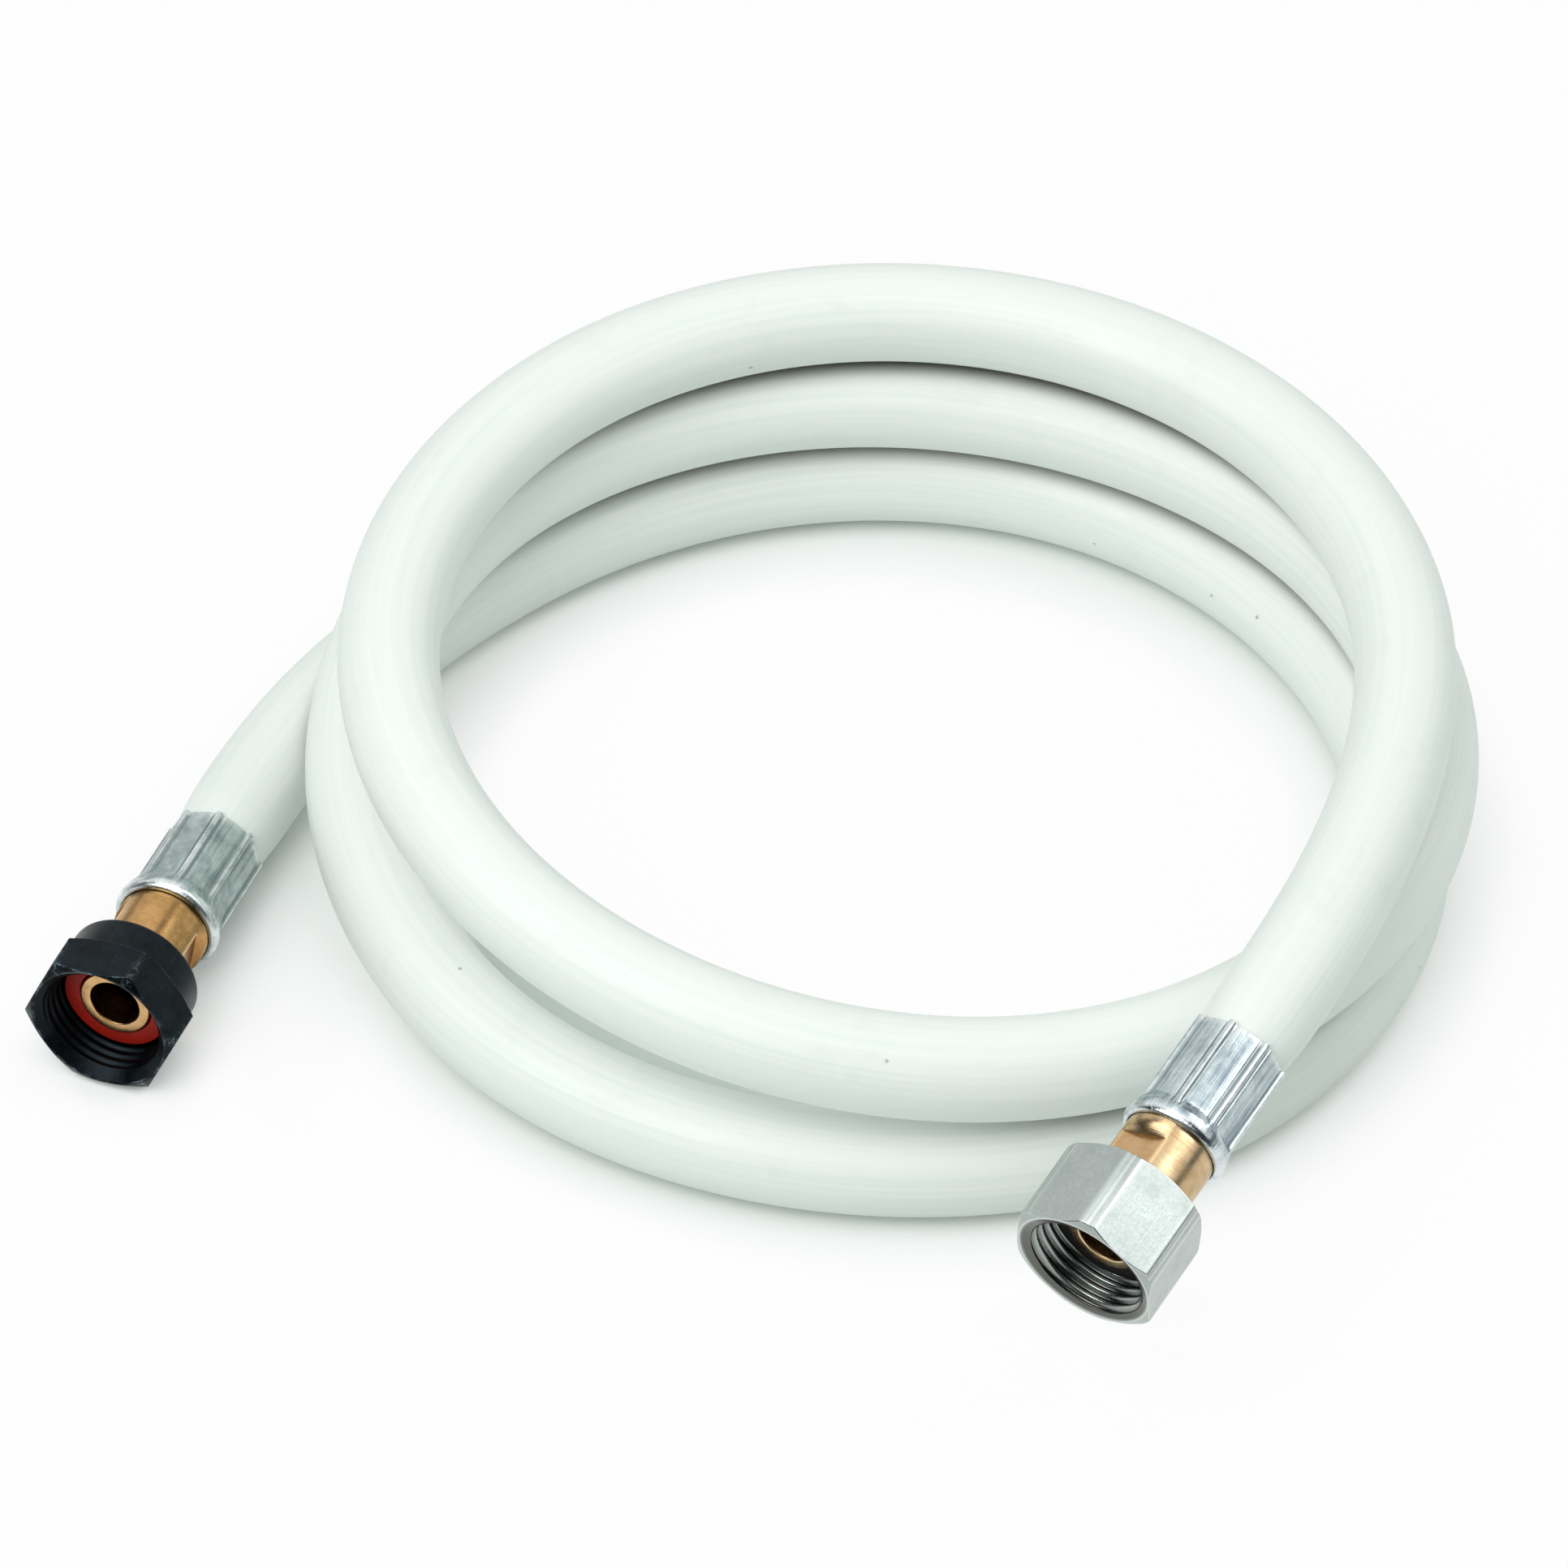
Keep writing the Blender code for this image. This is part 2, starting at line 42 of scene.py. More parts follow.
# Hose. White rubber for low-pressure gas, extruded over a textile layer and cured: satin, slightly greenish in its
# shade, with faint lines along it from the die. It lies in a loose coil of three turns and is gripped by a pressed
# ferrule at each end, behind which it swells back to its full size.

HOSE_RADIUS = 8.5
HOSE_BORE = 4.5
GRIPPED_RADIUS = 7.0
RELEASE = 1.2
# How far behind the ferrule the hose has which radius.
SWELL = ((0.0, 7.35), (1.5, 7.7), (4.0, 8.12), (8.0, 8.38), (13.0, 8.5))
COIL_MIDDLE = np.array((5.16, 8.76, 0.0))
COIL_START = 180
COIL_STEP = 30
# Distance from the coil's middle and height of the hose, every 30 degrees.
COIL_TURNS = (
    ((92.5, 8.5), (83.5, 8.6), (80.5, 8.6), (80.5, 8.6), (82.0, 8.6), (85.0, 8.6),
     (87.0, 8.6), (85.5, 8.6), (82.0, 8.6), (82.5, 8.9), (87.0, 11.0), (90.5, 18.3)),
    ((88.5, 25.8), (84.0, 26.7), (80.5, 26.5), (80.5, 26.5), (84.5, 26.5), (88.8, 26.5),
     (88.8, 26.5), (84.0, 26.7), (79.5, 29.2), (78.5, 33.6), (81.0, 38.5), (84.0, 42.3)),
    ((84.5, 44.0), (84.0, 44.4), (83.5, 44.1), (83.5, 44.0), (84.0, 44.0), (84.5, 44.1), (86.5, 43.9)),
)
LANDING = (-97.9, -26.3, 8.6)
STRAIGHT_LEAD = 8.0
PATH_STEP = 1.5

# Places along a fitting, measured from the tip of its spigot.
HOSE_END = 25.2
FERRULE_FRONT = 20.6
FERRULE_LENGTH = 20.6


def srgb(code):
    """An sRGB hex colour as linear numbers with alpha."""
    parts = [int(code[i:i + 2], 16) / 255 for i in (1, 3, 5)]
    return (*(c / 12.92 if c <= 0.04045 else ((c + 0.055) / 1.055) ** 2.4 for c in parts), 1)


def add(tree, kind, inputs=None, **settings):
    """A shader node with its settings, and its inputs by name or number: a value, or a socket to link."""
    made = tree.nodes.new("ShaderNode" + kind)
    for name, value in settings.items():
        setattr(made, name, value)
    for name, value in (inputs or {}).items():
        if isinstance(value, bpy.types.NodeSocket):
            tree.links.new(value, made.inputs[name])
        else:
            made.inputs[name].default_value = value
    return made


def new_material(name):
    """A new material, its node tree and its Principled shader."""
    made = bpy.data.materials.new(name)
    made.use_nodes = True
    return made, made.node_tree, made.node_tree.nodes["Principled BSDF"]


class Fitting:
    """One end: the middle of its nut's mouth, its axis back to the hose, and how deep its spigot's tip lies."""

    def __init__(self, mouth, azimuth, rise, tip):
        level = np.array((math.sin(azimuth), math.cos(azimuth), 0.0))
        self.mouth = COIL_MIDDLE + mouth
        self.axis = level * math.cos(rise) + np.array((0, 0, math.sin(rise)))
        self.right = np.array((level[1], -level[0], 0.0))
        self.tip = tip

    def point(self, from_tip):
        return self.mouth + self.axis * (self.tip + from_tip)

    def matrix(self):
        up = np.cross(self.right, self.axis)
        turn = Matrix((up, self.right, self.axis)).transposed().to_4x4()
        return Matrix.Translation(Vector(self.mouth) * MM) @ turn


BLACK_END = Fitting((-92.95, -107.92, 13.3), math.radians(-5.3), math.radians(-4.5), 6.3)
NICKEL_END = Fitting((80.5, -100.95, 34.05), math.radians(6.6), math.radians(8.45), 6.0)


def smooth_curve(points, first_way, last_way):
    """The curve with even curvature through the points, as a function of the way along it, and its whole way."""
    points = np.array(points, float)
    chords = np.linalg.norm(np.diff(points, axis=0), axis=1)
    places = np.concatenate(([0], np.cumsum(chords)))
    last = len(points) - 1
    system = np.eye(last + 1)
    known = np.zeros_like(points)
    known[0], known[last] = first_way, last_way
    for i in range(1, last):
        before, after = 1 / chords[i - 1], 1 / chords[i]
        system[i, i - 1:i + 2] = before, 2 * (before + after), after
        known[i] = 3 * (before ** 2 * (points[i] - points[i - 1]) + after ** 2 * (points[i + 1] - points[i]))
    ways = np.linalg.solve(system, known)

    def at(place):
        i = min(max(int(np.searchsorted(places, place, side="right")) - 1, 0), last - 1)
        t = (place - places[i]) / chords[i]
        return (
            (2 * t ** 3 - 3 * t ** 2 + 1) * points[i]
            + (t ** 3 - 2 * t ** 2 + t) * chords[i] * ways[i]
            + (3 * t ** 2 - 2 * t ** 3) * points[i + 1]
            + (t ** 3 - t ** 2) * chords[i] * ways[i + 1]
        )

    return at, places[last]


def hose_path():
    """Points a step apart along the hose, in mm, from one cut end to the other."""
    rear = FERRULE_FRONT + FERRULE_LENGTH
    route = [BLACK_END.point(rear), COIL_MIDDLE + LANDING]
    for i, (distance, height) in enumerate(station for turn in COIL_TURNS for station in turn):
        angle = math.radians(COIL_START - i * COIL_STEP)
        route.append(COIL_MIDDLE + (distance * math.cos(angle), distance * math.sin(angle), height))
    route += [NICKEL_END.point(rear + STRAIGHT_LEAD), NICKEL_END.point(rear)]
    curve, whole = smooth_curve(route, BLACK_END.axis, -NICKEL_END.axis)
    grip = np.linspace(HOSE_END, rear, 12)[:-1]
    return np.array(
        [BLACK_END.point(x) for x in grip]
        + [curve(x) for x in np.linspace(0, whole, int(whole / PATH_STEP))]
        + [NICKEL_END.point(x) for x in grip[::-1]]
    )


def new_mesh(name, points, faces, uvs, masks=None):
    """A smooth mesh object from points in mm, with a UV pair per face corner and named 0 to 1 masks per point."""
    mesh = bpy.data.meshes.new(name)
    mesh.from_pydata((np.asarray(points) * MM).tolist(), [], np.asarray(faces).tolist())
    mesh.shade_smooth()
    layer = mesh.uv_layers.new(name="UVMap")
    layer.data.foreach_set("uv", np.asarray(uvs, np.float32).ravel())
    for mask, values in (masks or {}).items():
        stored = mesh.attributes.new(mask, "FLOAT", "POINT")
        stored.data.foreach_set("value", np.clip(values, 0, 1).astype(np.float32).ravel())
    obj = bpy.data.objects.new(name, mesh)
    bpy.context.scene.collection.objects.link(obj)
    return obj


def grid_faces(rows, columns):
    """Quads of a grid whose rows and columns both close on themselves, and the row and column of each corner."""
    i, j = np.meshgrid(np.arange(rows), np.arange(columns), indexing="ij")
    corners = np.stack(
        [np.stack((i, j), -1), np.stack((i + 1, j), -1), np.stack((i + 1, j + 1), -1), np.stack((i, j + 1), -1)], 2
    ).reshape(-1, 4, 2)
    faces = (corners[..., 0] % rows) * columns + corners[..., 1] % columns
    return faces, corners


# Painted shade: this mask darkens the hose's colour between strands.
def crevices(path, along, outer, beyond=60, reach=26, closed=0.9, fade=3.2):
    """1 where another strand is less than closed away from the hose's outside, and down to 0 over the fade. Strands
    count as others when they lie further than beyond along the hose, and as near when within reach. All in mm."""
    gap = np.full(outer.shape[:2], np.inf)
    for i, row in enumerate(outer):
        others = path[np.abs(along - along[i]) > beyond]
        near = others[np.linalg.norm(others - path[i], axis=1) < reach]
        if len(near):
            gap[i] = np.linalg.norm(row[:, None] - near[None], axis=2).min(1) - HOSE_RADIUS
    return (1 - np.clip((gap - closed) / fade, 0, 1)) ** 2


def hose_mesh(path, sides=80, bore_step=8):
    """The tube: its outside with a UV of turn and length in metres, its cut ends and its bore."""
    ways = np.gradient(path, axis=0)
    ways /= np.linalg.norm(ways, axis=1)[:, None]
    along = np.concatenate(([0], np.cumsum(np.linalg.norm(np.diff(path, axis=0), axis=1))))
    side = np.cross(ways[0], (0, 0, 1.0))
    sides_at = []
    for way in ways:
        side = side - way * side.dot(way)
        side /= np.linalg.norm(side)
        sides_at.append(side)
    sides_at = np.array(sides_at)
    ups = np.cross(ways, sides_at)
    grip = FERRULE_FRONT + FERRULE_LENGTH - HOSE_END
    steps = [0, grip - RELEASE] + [grip + x for x, _ in SWELL]
    sizes = [GRIPPED_RADIUS, GRIPPED_RADIUS] + [r for _, r in SWELL]
    from_end = np.minimum(along, along[-1] - along)
    radius = np.interp(from_end, steps, sizes)
    angles = np.linspace(0, math.tau, sides, endpoint=False)
    ring = np.cos(angles)[None, :, None] * sides_at[:, None] + np.sin(angles)[None, :, None] * ups[:, None]
    outer = path[:, None] + ring * radius[:, None, None]
    inner = (path[:, None] + ring * HOSE_BORE)[::-1][::bore_step]
    points = np.concatenate((outer, inner))
    faces, corners = grid_faces(len(points), sides)
    way = np.concatenate((along, along[::-1][::bore_step], [0]))
    uvs = np.stack((corners[..., 1] / sides, way[corners[..., 0]] * MM), -1)
    # Painted shade: a mask that darkens the hose's colour where strands all but touch.
    crevice_shade = np.concatenate((crevices(path, along, outer), np.zeros(inner.shape[:2])))
    return new_mesh("rubber_hose", points.reshape(-1, 3), faces, uvs, {"crevice_shade": crevice_shade})


path = hose_path()
hose = hose_mesh(path)

# Extruded and cured rubber is satin: soft highlights, faint lines from the die, a fine grain, dull rubbed patches
# and, here and there, a fleck of dirt.
finish, tree, shader = new_material("extruded_white_rubber")
here = add(tree, "TexCoord").outputs["Object"]
skin = add(tree, "SeparateXYZ", {0: add(tree, "UVMap", uv_map="UVMap").outputs[0]})
turned = add(tree, "Math", {0: skin.outputs[0], 1: math.tau}, operation="MULTIPLY").outputs[0]
across = add(tree, "Math", {0: turned}, operation="COSINE").outputs[0]
upward = add(tree, "Math", {0: turned}, operation="SINE").outputs[0]
round_the_hose = add(tree, "CombineXYZ", {0: across, 1: upward, 2: skin.outputs[1]}).outputs[0]
# The die's lines are 0.9 mm wide and about 90 mm long. One unit of the first two numbers is the hose's radius.
pulled = add(tree, "Mapping", {"Vector": round_the_hose, "Scale": (HOSE_RADIUS / 0.9, HOSE_RADIUS / 0.9, 1 / 0.09)})
die_lines = add(tree, "TexNoise", {"Vector": pulled.outputs[0], "Scale": 1.0, "Detail": 3.0, "Roughness": 0.55})
# The shade drifts over 30 mm, and rubbed patches are about 11 mm wide.
cloud = add(tree, "TexNoise", {"Vector": here, "Scale": 1 / 0.03, "Detail": 3.0, "Roughness": 0.55})
rubbed = add(tree, "TexNoise", {"Vector": here, "Scale": 1 / 0.011, "Detail": 5.0, "Roughness": 0.62})
# The grain is 0.45 mm, as finer grain doesn't show.
grain = add(tree, "TexNoise", {"Vector": here, "Scale": 1 / 0.00045, "Detail": 2.0})
tint = add(tree, "MixRGB", {"Fac": cloud.outputs[0], "Color1": srgb("#F4F6F4"), "Color2": srgb("#F7F8F6")})
lined = add(tree, "MapRange", {0: die_lines.outputs[0], 1: 0.35, 2: 0.72, 3: 0.0, 4: 0.32})
tint = add(tree, "MixRGB", {"Fac": lined.outputs[0], "Color1": tint.outputs[0], "Color2": srgb("#DFE8E3")})
dull = add(tree, "MapRange", {0: rubbed.outputs[0], 1: 0.58, 2: 0.8, 3: 0.0, 4: 0.25})
tint = add(tree, "MixRGB", {"Fac": dull.outputs[0], "Color1": tint.outputs[0], "Color2": srgb("#DADFD9")})
# Flecks under 1 mm, one for every 13 mm or so.
fleck_cells = add(tree, "TexVoronoi", {"Vector": here, "Scale": 1 / 0.013})
fleck = add(tree, "MapRange", {0: fleck_cells.outputs["Distance"], 1: 0.02, 2: 0.034, 3: 0.6, 4: 0.0})
tint = add(tree, "MixRGB", {"Fac": fleck.outputs[0], "Color1": tint.outputs[0], "Color2": srgb("#8D8C82")})
# Painted shade: the colour darkens to a grey brown where two strands all but touch, where shade falls between them.
crevice_shade = add(tree, "Attribute", attribute_name="crevice_shade").outputs["Fac"]
amount = add(tree, "Math", {0: crevice_shade, 1: 0.9}, operation="MULTIPLY")
tint = add(tree, "MixRGB", {"Fac": amount.outputs[0], "Color1": tint.outputs[0], "Color2": srgb("#6F6E64")})
tree.links.new(tint.outputs[0], shader.inputs["Base Color"])
gloss = add(tree, "MapRange", {0: rubbed.outputs[0], 1: 0.3, 2: 0.75, 3: 0.4, 4: 0.6})
tree.links.new(gloss.outputs[0], shader.inputs["Roughness"])
shader.inputs["Specular IOR Level"].default_value = 0.42
lines_bump = add(tree, "Bump", {"Height": die_lines.outputs[0], "Distance": 0.00008, "Strength": 0.6})
soft_bump = add(tree, "Bump", {
    "Height": rubbed.outputs[0], "Distance": 0.00012, "Strength": 0.5, "Normal": lines_bump.outputs[0]})
grain_bump = add(tree, "Bump", {
    "Height": grain.outputs[0], "Distance": 0.00003, "Strength": 0.5, "Normal": soft_bump.outputs[0]})
tree.links.new(grain_bump.outputs[0], shader.inputs["Normal"])
hose.data.materials.append(finish)
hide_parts("hose")
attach(hose, "hose_and_fittings")

# Ferrules. Drawn aluminium sleeves, pressed on the hose by eight jaws: eight flats with a narrow ridge squeezed up
# between each two, a ramp up to a plain rolled shoulder at the front, and drag marks from the press along the flats.

SHOULDER_RADIUS = 9.2
RIDGE_RADIUS = 8.95
RIDGE_HALF_WIDTH = 0.4
RIDGE_FOOT = 0.68
CRIMP_HEIGHT = 8.1
JAWS = 8
LIP_RADIUS = 8.0
FLANGE_RADIUS = 6.4
SLEEVE_BORE = 7.2


def arc_profile(corners, closed=True):
    """The profile's corners (place, radius, round) as points, with each corner rounded over its third number."""
    found = []
    count = len(corners)
    for i, (x, r, cut) in enumerate(corners):
        here = np.array((x, r), float)
        if not cut or (not closed and i in (0, count - 1)):
            found.append(here)
            continue
        before = np.array(corners[i - 1][:2], float) - here
        after = np.array(corners[(i + 1) % count][:2], float) - here
        start = here + before / np.linalg.norm(before) * cut
        end = here + after / np.linalg.norm(after) * cut
        for t in np.linspace(0, 1, 6):
            found.append((1 - t) ** 2 * start + 2 * t * (1 - t) * here + t ** 2 * end)
    return np.array(found)


def filled(points, step, low, high, closed=True):
    """The profile, with no stretch longer than step where its place lies between low and high."""
    found = []
    ends = np.roll(points, -1, axis=0) if closed else points[1:]
    for start, end in zip(points, ends):
        inside = low <= (start[0] + end[0]) / 2 <= high
        parts = max(1, math.ceil(np.linalg.norm(end - start) / step)) if inside else 1
        found += [start + (end - start) * k / parts for k in range(parts)]
    if not closed:
        found.append(points[-1])
    return np.array(found)


def gathered(count, parts, power):
    """Angles all round in this many equal parts, closer together in the middle of each part."""
    u = np.linspace(-1, 1, count + 1)[:-1]
    part = np.sign(u) * np.abs(u) ** power * math.pi / parts
    return np.concatenate([part + k * math.tau / parts for k in range(parts)])


def soft_min(a, b, width):
    """The smaller of two radii, with the edge between them rounded over about this width."""
    h = np.clip(0.5 + 0.5 * (b - a) / width, 0, 1)
    return b + (a - b) * h - width * h * (1 - h)


def eased(values, low, high):
    """From 0 at low to 1 at high, with a soft start and end."""
    t = np.clip((values - low) / (high - low), 0, 1)
    return t * t * (3 - 2 * t)


def ring_mesh(name, end, places, radii, angles, masks=None):
    """A mesh from places and radii (rows by angles), in mm, on that fitting's axis. UV: turn and length."""
    rows, columns = radii.shape
    places = np.broadcast_to(places if places.ndim == 2 else places[:, None], radii.shape)
    points = np.stack((radii * np.cos(angles), radii * np.sin(angles), places), -1)
    faces, corners = grid_faces(rows, columns)
    run = np.concatenate(([0], np.cumsum(np.hypot(np.diff(places.mean(1)), np.diff(radii.mean(1))))))
    run = np.append(run, run[-1])
    turn = np.append(angles, angles[0] + math.tau) / math.tau
    uvs = np.stack((turn[corners[..., 1]], run[corners[..., 0]] * MM), -1)
    obj = new_mesh(name, points.reshape(-1, 3), faces, uvs, masks)
    obj.matrix_world = end.matrix()
    return obj


def ferrule_mesh(name, end, fin_turn, squeeze, crimp_start, crimp_full, reach):
    """One sleeve. Its ridges are squeeze lower than RIDGE_RADIUS, the press bites between crimp_start and crimp_full,
    and the lip stands out by reach."""
    first = end.tip + FERRULE_FRONT
    ridge_radius = RIDGE_RADIUS - squeeze
    corners = [
        (FERRULE_LENGTH, 7.4, 0.12),
        (FERRULE_LENGTH, ridge_radius, 0.25),
        (4.4, ridge_radius, 0.8),
        (2.8, SHOULDER_RADIUS + 0.3 * reach, 0.6),
        (0.8 - reach, SHOULDER_RADIUS - 0.05 + 0.3 * reach, 0.5),
        (-reach, 8.7, 0.3),
        (-reach, LIP_RADIUS, 0.1),
        (1.8, LIP_RADIUS, 0.1),
        (1.8, FLANGE_RADIUS, 0.1),
        (3.0, FLANGE_RADIUS, 0.1),
        (3.0, SLEEVE_BORE, 0.1),
        (19.4, SLEEVE_BORE, 0.3),
    ]
    profile = filled(arc_profile(corners), 0.2, 0.2, 6.6)
    profile = filled(profile, 1.2, 6.6, 20.4)
    angles = gathered(56, JAWS, 1.6)
    half = math.pi / JAWS
    away = np.abs((angles + half) % (2 * half) - half)
    aside = ridge_radius * np.sin(away)
    # A flat bulges a little in its middle and is pressed deepest beside the ridges.
    flat = (CRIMP_HEIGHT - squeeze) / np.cos(half - away)
    flat = flat + 0.14 * (1 - ((half - away) / half) ** 2)
    flat = flat - 0.17 * np.exp(-((aside - 0.98) / 0.27) ** 2)
    ridge = 1 - eased(aside, RIDGE_HALF_WIDTH, RIDGE_FOOT)
    crown = ridge_radius - 0.06 * (aside / RIDGE_HALF_WIDTH) ** 2
    places = profile[:, 0]
    ramp = eased(places, crimp_start, crimp_full)[:, None]
    drawn = profile[:, 1][:, None]
    outside = drawn > LIP_RADIUS + 0.3
    outer = outside & (places > 0.1 - reach)[:, None]
    pressed = drawn * (1 - ramp) + np.minimum(flat[None, :], drawn) * ramp
    standing = drawn * (1 - ramp) + np.minimum(crown[None, :], drawn) * ramp
    radii = np.where(outer, pressed * (1 - ridge) + standing * ridge, drawn)
    # The rear rim is uneven, as the metal stretched most under the ridges.
    rear = (places > 20.3)[:, None] & (drawn > 7.5)
    radii = np.where(rear, np.minimum(radii, flat * (1 - ridge) + crown * ridge), radii)
    stretched = np.where(rear, 0.3 * ridge[None, :] + 0.1 * np.sin(angles * 3 + 1) * (1 - ridge[None, :]) - 0.08, 0)
    on_crimp = ramp * (drawn > 7.5)
    # Near-white on the ridge tops and rims, partly wear and partly painted highlight, and a painted highlight band
    # along the front shoulder.
    edge = 0.7 * np.exp(-((aside - 0.3) / 0.2) ** 2)[None, :] * on_crimp
    rim = np.broadcast_to(((places > 20.2) | (places < 0.5))[:, None] & outside, radii.shape)
    # Painted shade: a dark line at the foot of each ridge.
    foot = np.exp(-((aside - 0.8) / 0.22) ** 2)[None, :] * on_crimp
    band = np.exp(-((places - 0.6) / 1.0) ** 4)[:, None] * outer * (0.5 + reach)
    masks = {"edge_wear_and_highlight": np.maximum(np.maximum(edge, 0.6 * rim), band), "hollow_shade": foot}
    return ring_mesh(name, end, places[:, None] + first + stretched, radii, angles + fin_turn, masks)


def ferrule_finish(name, dull, bright, wear_and_highlight_tint, shade, rough_low, rough_high, start):
    """Drawn aluminium after the press: matt grey with blotches and long scratches, rubbed bright on its rims and ridge
    tops, partly wear and partly painted highlight, with a painted highlight band along the front shoulder and painted
    shade at the foot of each ridge.
    """
    made, tree, shader = new_material(name)
    here = add(tree, "TexCoord").outputs["Object"]
    edge = add(tree, "Attribute", attribute_name="edge_wear_and_highlight").outputs["Fac"]
    hollow_shade = add(tree, "Attribute", attribute_name="hollow_shade").outputs["Fac"]
    # Blotches of 3 mm, scratches 0.3 mm wide and 9 mm long, and a grain of 0.25 mm.
    moved = add(tree, "Mapping", {"Vector": here, "Location": (start, 0, 0)}).outputs[0]
    blotch = add(tree, "TexNoise", {"Vector": moved, "Scale": 1 / 0.003, "Detail": 5.0, "Roughness": 0.68})
    pulled = add(tree, "Mapping", {"Vector": moved, "Scale": (1 / 0.0003, 1 / 0.0003, 1 / 0.009)}).outputs[0]
    scratch = add(tree, "TexNoise", {"Vector": pulled, "Scale": 1.0, "Detail": 3.0, "Roughness": 0.6})
    wide = add(tree, "Mapping", {"Vector": moved, "Scale": (1 / 0.0014, 1 / 0.0014, 1 / 0.022)}).outputs[0]
    band = add(tree, "TexNoise", {"Vector": wide, "Scale": 1.0, "Detail": 2.0})
    grain = add(tree, "TexNoise", {"Vector": here, "Scale": 1 / 0.00025, "Detail": 2.0})
    amount = add(tree, "MapRange", {0: blotch.outputs[0], 1: 0.34, 2: 0.66})
    tint = add(tree, "MixRGB", {"Fac": amount.outputs[0], "Color1": srgb(dull), "Color2": srgb(bright)})
    amount = add(tree, "MapRange", {0: band.outputs[0], 1: 0.5, 2: 0.68, 3: 0.0, 4: 0.5})
    tint = add(tree, "MixRGB", {"Fac": amount.outputs[0], "Color1": tint.outputs[0], "Color2": srgb(shade)})
    amount = add(tree, "MapRange", {0: scratch.outputs[0], 1: 0.55, 2: 0.72, 3: 0.0, 4: 0.6})
    tint = add(tree, "MixRGB", {"Fac": amount.outputs[0], "Color1": tint.outputs[0], "Color2": srgb(shade)})
    # Painted shade: darker grey at the foot of each ridge.
    amount = add(tree, "Math", {0: hollow_shade, 1: blotch.outputs[0]}, operation="MULTIPLY")
    tint = add(tree, "MixRGB", {"Fac": amount.outputs[0], "Color1": tint.outputs[0], "Color2": srgb("#5D6866")})
    # Painted highlight and wear: the near-white tint on the shoulder band, the rims and the ridge tops.
    broken = add(tree, "MapRange", {0: blotch.outputs[0], 1: 0.36, 2: 0.58, 3: 0.35, 4: 1.0})
    amount = add(tree, "Math", {0: edge, 1: broken.outputs[0]}, operation="MULTIPLY")
    tint = add(tree, "MixRGB", {"Fac": amount.outputs[0], "Color1": tint.outputs[0], "Color2": srgb(wear_and_highlight_tint)})
    tree.links.new(tint.outputs[0], shader.inputs["Base Color"])
    shader.inputs["Metallic"].default_value = 1.0
    rough = add(tree, "MapRange", {0: blotch.outputs[0], 1: 0.3, 2: 0.7, 3: rough_low, 4: rough_high})
    kept = add(tree, "MapRange", {0: edge, 3: 1.0, 4: 0.6})
    rough = add(tree, "Math", {0: rough.outputs[0], 1: kept.outputs[0]}, operation="MULTIPLY")
    tree.links.new(rough.outputs[0], shader.inputs["Roughness"])
    lumps = add(tree, "Bump", {"Height": blotch.outputs[0], "Distance": 0.0001, "Strength": 0.6})
    lines = add(tree, "Bump", {
        "Height": scratch.outputs[0], "Distance": 0.00005, "Strength": 0.8, "Normal": lumps.outputs[0]})
    fine = add(tree, "Bump", {
        "Height": grain.outputs[0], "Distance": 0.000015, "Strength": 0.6, "Normal": lines.outputs[0]})
    tree.links.new(fine.outputs[0], shader.inputs["Normal"])
    return made


# The sleeve at the black nut is duller and pressed a little smaller. The one at the nickel nut keeps more of its
# drawn shine.
ferrule_black_end = ferrule_mesh(
    "crimped_ferrule_black_end", BLACK_END, fin_turn=math.radians(7), squeeze=0.35, crimp_start=0.2, crimp_full=7.0,
    reach=0.4)
ferrule_black_end.data.materials.append(ferrule_finish(
    "drawn_aluminium_dull", dull="#92A3A4", bright="#C6D3D0", wear_and_highlight_tint="#F2F6F6", shade="#74837F", rough_low=0.3,
    rough_high=0.46, start=0.0))
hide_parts("ferrule_black_end")
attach(ferrule_black_end, "hose_and_fittings")
ferrule_nickel_end = ferrule_mesh(
    "crimped_ferrule_nickel_end", NICKEL_END, fin_turn=math.radians(43), squeeze=0.0, crimp_start=1.9, crimp_full=4.6,
    reach=0.05)
ferrule_nickel_end.data.materials.append(ferrule_finish(
    "drawn_aluminium_bright", dull="#AEBDC0", bright="#CFDBDC", wear_and_highlight_tint="#F2F5F5", shade="#4E5F75", rough_low=0.17,
    rough_high=0.28, start=0.05))
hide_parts("ferrule_nickel_end")
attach(ferrule_nickel_end, "hose_and_fittings")

# Hose tails. Each is turned from brass bar: a spigot with a bore at the front, a collar that the nut pulls on, a
# body with two milled spanner flats, a groove that holds the ferrule's flange, and a barbed stem in the hose.

BODY_RADIUS = 7.9
FLAT_HEIGHT = 6.5
FLAT_FROM = 9.4
FLAT_TO = 17.4
SPIGOT_RADIUS = 6.25
SPIGOT_BORE = 4.3
COLLAR_RADIUS = 9.2
STEM_RADIUS = 3.7
STEM_BORE = 3.0
BARB_RADIUS = 4.2
BARB_PITCH = 3.6
BARBS = 4


